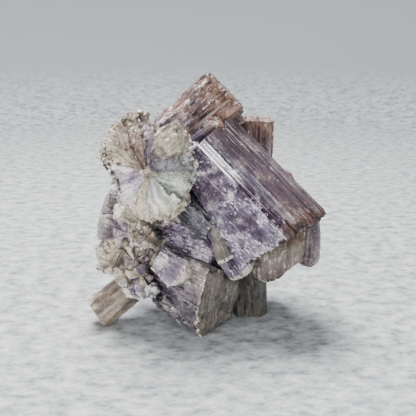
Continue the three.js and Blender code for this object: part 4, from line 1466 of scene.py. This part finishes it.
# Lumps of crust, each set with blades: where it is, half its size, how many blades and how long.
crustLumps = {
    "crevice": {
        "at": (-4, -7.2, 41),
        "half": (3.4, 2.4, 6),
        "count": 260,
        "size": (0.5, 1.3),
        "stones": ["milkyAragonite", "glassyAragonite", "drusyCrust", "paleLilacAragonite", "milkyAragonite"],
    },
    "whiteFlakes": {
        "at": (-15, -6.2, 10.8),
        "half": (4.2, 2, 1.8),
        "count": 90,
        "size": (1, 2.6),
        "stones": ["milkyAragonite", "lilacAragonite", "milkyAragonite", "clearAragonite"],
    },
    "leftRosette": {"at": (-21.4, -3.6, 19.4), "half": (4, 2.4, 4.6), "count": 150, "size": (0.8, 1.9)},
    "leftFringe": {"at": (-23.6, 0, 17.6), "half": (2.2, 2.6, 3.4), "count": 80, "size": (0.9, 1.9)},
    "middleFill": {"at": (-15.4, -4.8, 21.6), "half": (3.4, 2.6, 4.6), "count": 120, "size": (0.8, 1.9)},
    "lowFill": {"at": (-16.6, -3, 12.4), "half": (4.2, 2.6, 3.4), "count": 130, "size": (0.8, 1.9)},
    "topLeft": {
        "at": (-12.2, -0.4, 47.4),
        "half": (3, 2.2, 1.8),
        "count": 60,
        "size": (0.7, 1.5),
        "stones": ["greyAragonite", "tanAragonite", "duskyAragonite", "drusyCrust"],
    },
    "backCrust": {"at": (-2, 11.4, 37), "half": (8, 3, 7), "count": 200, "size": (1, 2.2)},
    "backLowCrust": {"at": (2, 11.4, 18), "half": (9, 3, 4.4), "count": 200, "size": (1, 2.2)},
}
crustStones = ["drusyCrust", "drusyCrust", "creamAragonite", "tanAragonite"]
crustStones += ["duskyAragonite", "lilacAragonite"]
lumpGrains = [("lumps", (3, 3, 3), 1.6, "VORONOI_F2_F1"), ("grains", (1.1, 1.1, 1.1), 0.8, "VORONOI_F1")]


def growLump(name, lump):
    clearPick()
    bpy.ops.mesh.primitive_ico_sphere_add(subdivisions=5, radius=1, location=(0, 0, 0))
    ball = bpy.context.object
    ball.name = ball.data.name = name
    ball.scale = [h * mm for h in lump["half"]]
    ball.location = inPlace(lump["at"])
    bpy.ops.object.transform_apply(location=True, rotation=True, scale=True)
    for kind, sizes, height, basis in lumpGrains:
        roughen(ball, kind, sizes, height, {"noise_basis": basis})
    points = coordsOf(ball.data)
    setAttribute(ball.data, "around", "FLOAT_VECTOR", points)
    for attribute, value in (("growth", 0.3), ("relief", -0.1), ("shade", 0.0), ("edge", 0.0)):
        setAttribute(ball.data, attribute, "FLOAT", np.full(len(points), value))
    ball.data.materials.append(stones["drusyCrust"])
    pickOnly(ball)
    bpy.ops.object.shade_smooth_by_angle(angle=math.radians(30))
    return ball


for k, (name, lump) in enumerate(crustLumps.items()):
    ball = growLump(name, lump)
    pieces.append(ball)
    print(name, len(ball.data.polygons))
    outside = Vector(lump["at"]) - heart
    spots = surfaceSpots(ball, lump["count"], k + 7, lambda centre, normal: normal.dot(outside) > -2)
    growDruse(name + "Blades", spots, lump["size"], lump.get("stones", crustStones), k + 70)

# knobs along the rosette's rim and round its hub
hub = Vector(rosette[0]["tip"])
knobs = {"front": -8, "rimReach": 9, "hubReach": 1.7, "onRim": 70, "onHub": 26}


def onRosetteRim(centre, normal):
    return centre.y < knobs["front"] and centre.x < 0 and (centre - hub).length > knobs["rimReach"]


def onRosetteHub(centre, normal):
    return centre.y < knobs["front"] and (centre - hub).length < knobs["hubReach"]


knobSpots = surfaceSpots(rosettePiece, knobs["onRim"], 61, onRosetteRim)
knobSpots += surfaceSpots(rosettePiece, knobs["onHub"], 62, onRosetteHub)
growDruse("rosetteKnobs", knobSpots, (0.7, 1.5), ["creamAragonite", "drusyCrust"], 63)

# The lumpy middle, seen only between the crystals.
coreLumps = [
    {"at": (-3, 4, 32), "half": (11, 7.6, 12)},
    {"at": (4, 4.6, 26), "half": (12, 7.4, 10)},
    {"at": (-9, 2, 18), "half": (9.9, 7, 8.5)},
    {"at": (2, 4, 16), "half": (9.4, 7.5, 8.5)},
    {"at": (-17, 0, 24.5), "half": (6.1, 5.6, 6.1)},
    {"at": (-19, -1, 17.5), "half": (5.6, 4.5, 4.9)},
]
joinPieces("core", [growLump(f"core{k}", lump) for k, lump in enumerate(coreLumps)])

for piece in pieces:
    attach(piece, "root")
    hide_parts(stoneNode)
print("pieces", len(pieces))

# The stage is a floor that curves up into a wall all round.
clearPick()
floorRadius, sweepRadius, wallHeight, sweepSteps = 0.3, 0.12, 0.35, 10
bpy.ops.mesh.primitive_circle_add(vertices=96, radius=floorRadius, fill_type="NGON")
sweep = bpy.context.object
sweep.name = "sweep"
bpy.ops.object.mode_set(mode="EDIT")
bpy.ops.mesh.select_mode(type="EDGE")
bpy.ops.mesh.select_all(action="SELECT")
bpy.ops.mesh.select_non_manifold()
for k in range(1, sweepSteps + 1):
    before, after = [(k - j) / sweepSteps * math.pi / 2 for j in (1, 0)]
    grow = (floorRadius + sweepRadius * math.sin(after)) / (floorRadius + sweepRadius * math.sin(before))
    rise = sweepRadius * (math.cos(before) - math.cos(after))
    bpy.ops.mesh.extrude_edges_move(TRANSFORM_OT_translate={"value": (0, 0, rise)})
    bpy.ops.transform.resize(value=(grow, grow, 1), center_override=(0, 0, 0))
bpy.ops.mesh.extrude_edges_move(TRANSFORM_OT_translate={"value": (0, 0, wallHeight)})
bpy.ops.object.mode_set(mode="OBJECT")
bpy.ops.object.shade_smooth()
# smoothed concrete: matt, with the soft mottling that a trowel leaves
concrete = bpy.data.materials.new("paleConcrete")
concrete.use_nodes = True
tree = concrete.node_tree
shader = tree.nodes["Principled BSDF"]
where = addNode(tree, "ShaderNodeTexCoord")["Object"]
where = addNode(tree, "ShaderNodeMapping", {"Vector": where, "Scale": (230, 300, 300)})["Vector"]
trowel = {"Vector": where, "Scale": 1, "Detail": 9, "Roughness": 0.75}
trowel = addNode(tree, "ShaderNodeTexNoise", trowel)["Fac"]
pale = addNode(tree, "ShaderNodeValToRGB", {"Fac": trowel})
pale = setRamp(pale, [(0.36, "#6f7174"), (0.5, "#a7a9ab"), (0.64, "#c9cacc")])
height = addNode(tree, "ShaderNodeSeparateXYZ", {"Vector": where})["Z"]
wallShare = {"Value": height, "From Min": 1.2, "From Max": 9}
wallShare = addNode(tree, "ShaderNodeMapRange", wallShare)["Result"]
wall = {0: wallShare, 6: pale, 7: hexColour("#91979a")}
tree.links.new(addNode(tree, "ShaderNodeMix", wall, data_type="RGBA")[2], shader.inputs["Base Color"])
shader.inputs["Roughness"].default_value = 0.8
sweep.data.materials.append(concrete)

softboxes = {
    "keyAbove": {"at": (-0.06, 0.1, 0.38), "size": 0.2, "power": 5.2},
    "lowFront": {"at": (-0.106, -0.3, 0.06), "size": 0.045, "power": 0.4},
    "frontLeft": {"at": (-0.3, -0.24, 0.1), "size": 0.09, "power": 0.75},
    "frontRight": {"at": (0.1, -0.272, 0.24), "size": 0.042, "power": 0.26},
    "glintTop": {"at": (-0.04, -0.2, 0.4), "size": 0.05, "power": 0.2},
}
for name, box in softboxes.items():
    light = bpy.data.lights.new(name, "AREA")
    light.energy = box["power"]
    light.size = box["size"]
    lamp = bpy.data.objects.new(name, light)
    lamp.location = box["at"]
    lamp.rotation_euler = (Vector((0, 0, 0.03)) - lamp.location).to_track_quat("-Z", "Y").to_euler()
    bpy.context.collection.objects.link(lamp)
world = bpy.data.worlds.new("paleSky")
bpy.context.scene.world = world
world.use_nodes = True
world.node_tree.nodes["Background"].inputs["Color"].default_value = hexColour("#dfe3e6")
world.node_tree.nodes["Background"].inputs["Strength"].default_value = 0.04

camera = bpy.data.cameras.new("camera")
camera.lens = 70
camera.clip_start = 0.01
eye = bpy.data.objects.new("camera", camera)
eye.location = (0.0008, -0.19032, 0.07895)
eye.rotation_euler = (math.radians(75), 0, 0)
bpy.context.collection.objects.link(eye)
bpy.context.scene.camera = eye
print("stage, lights and camera")
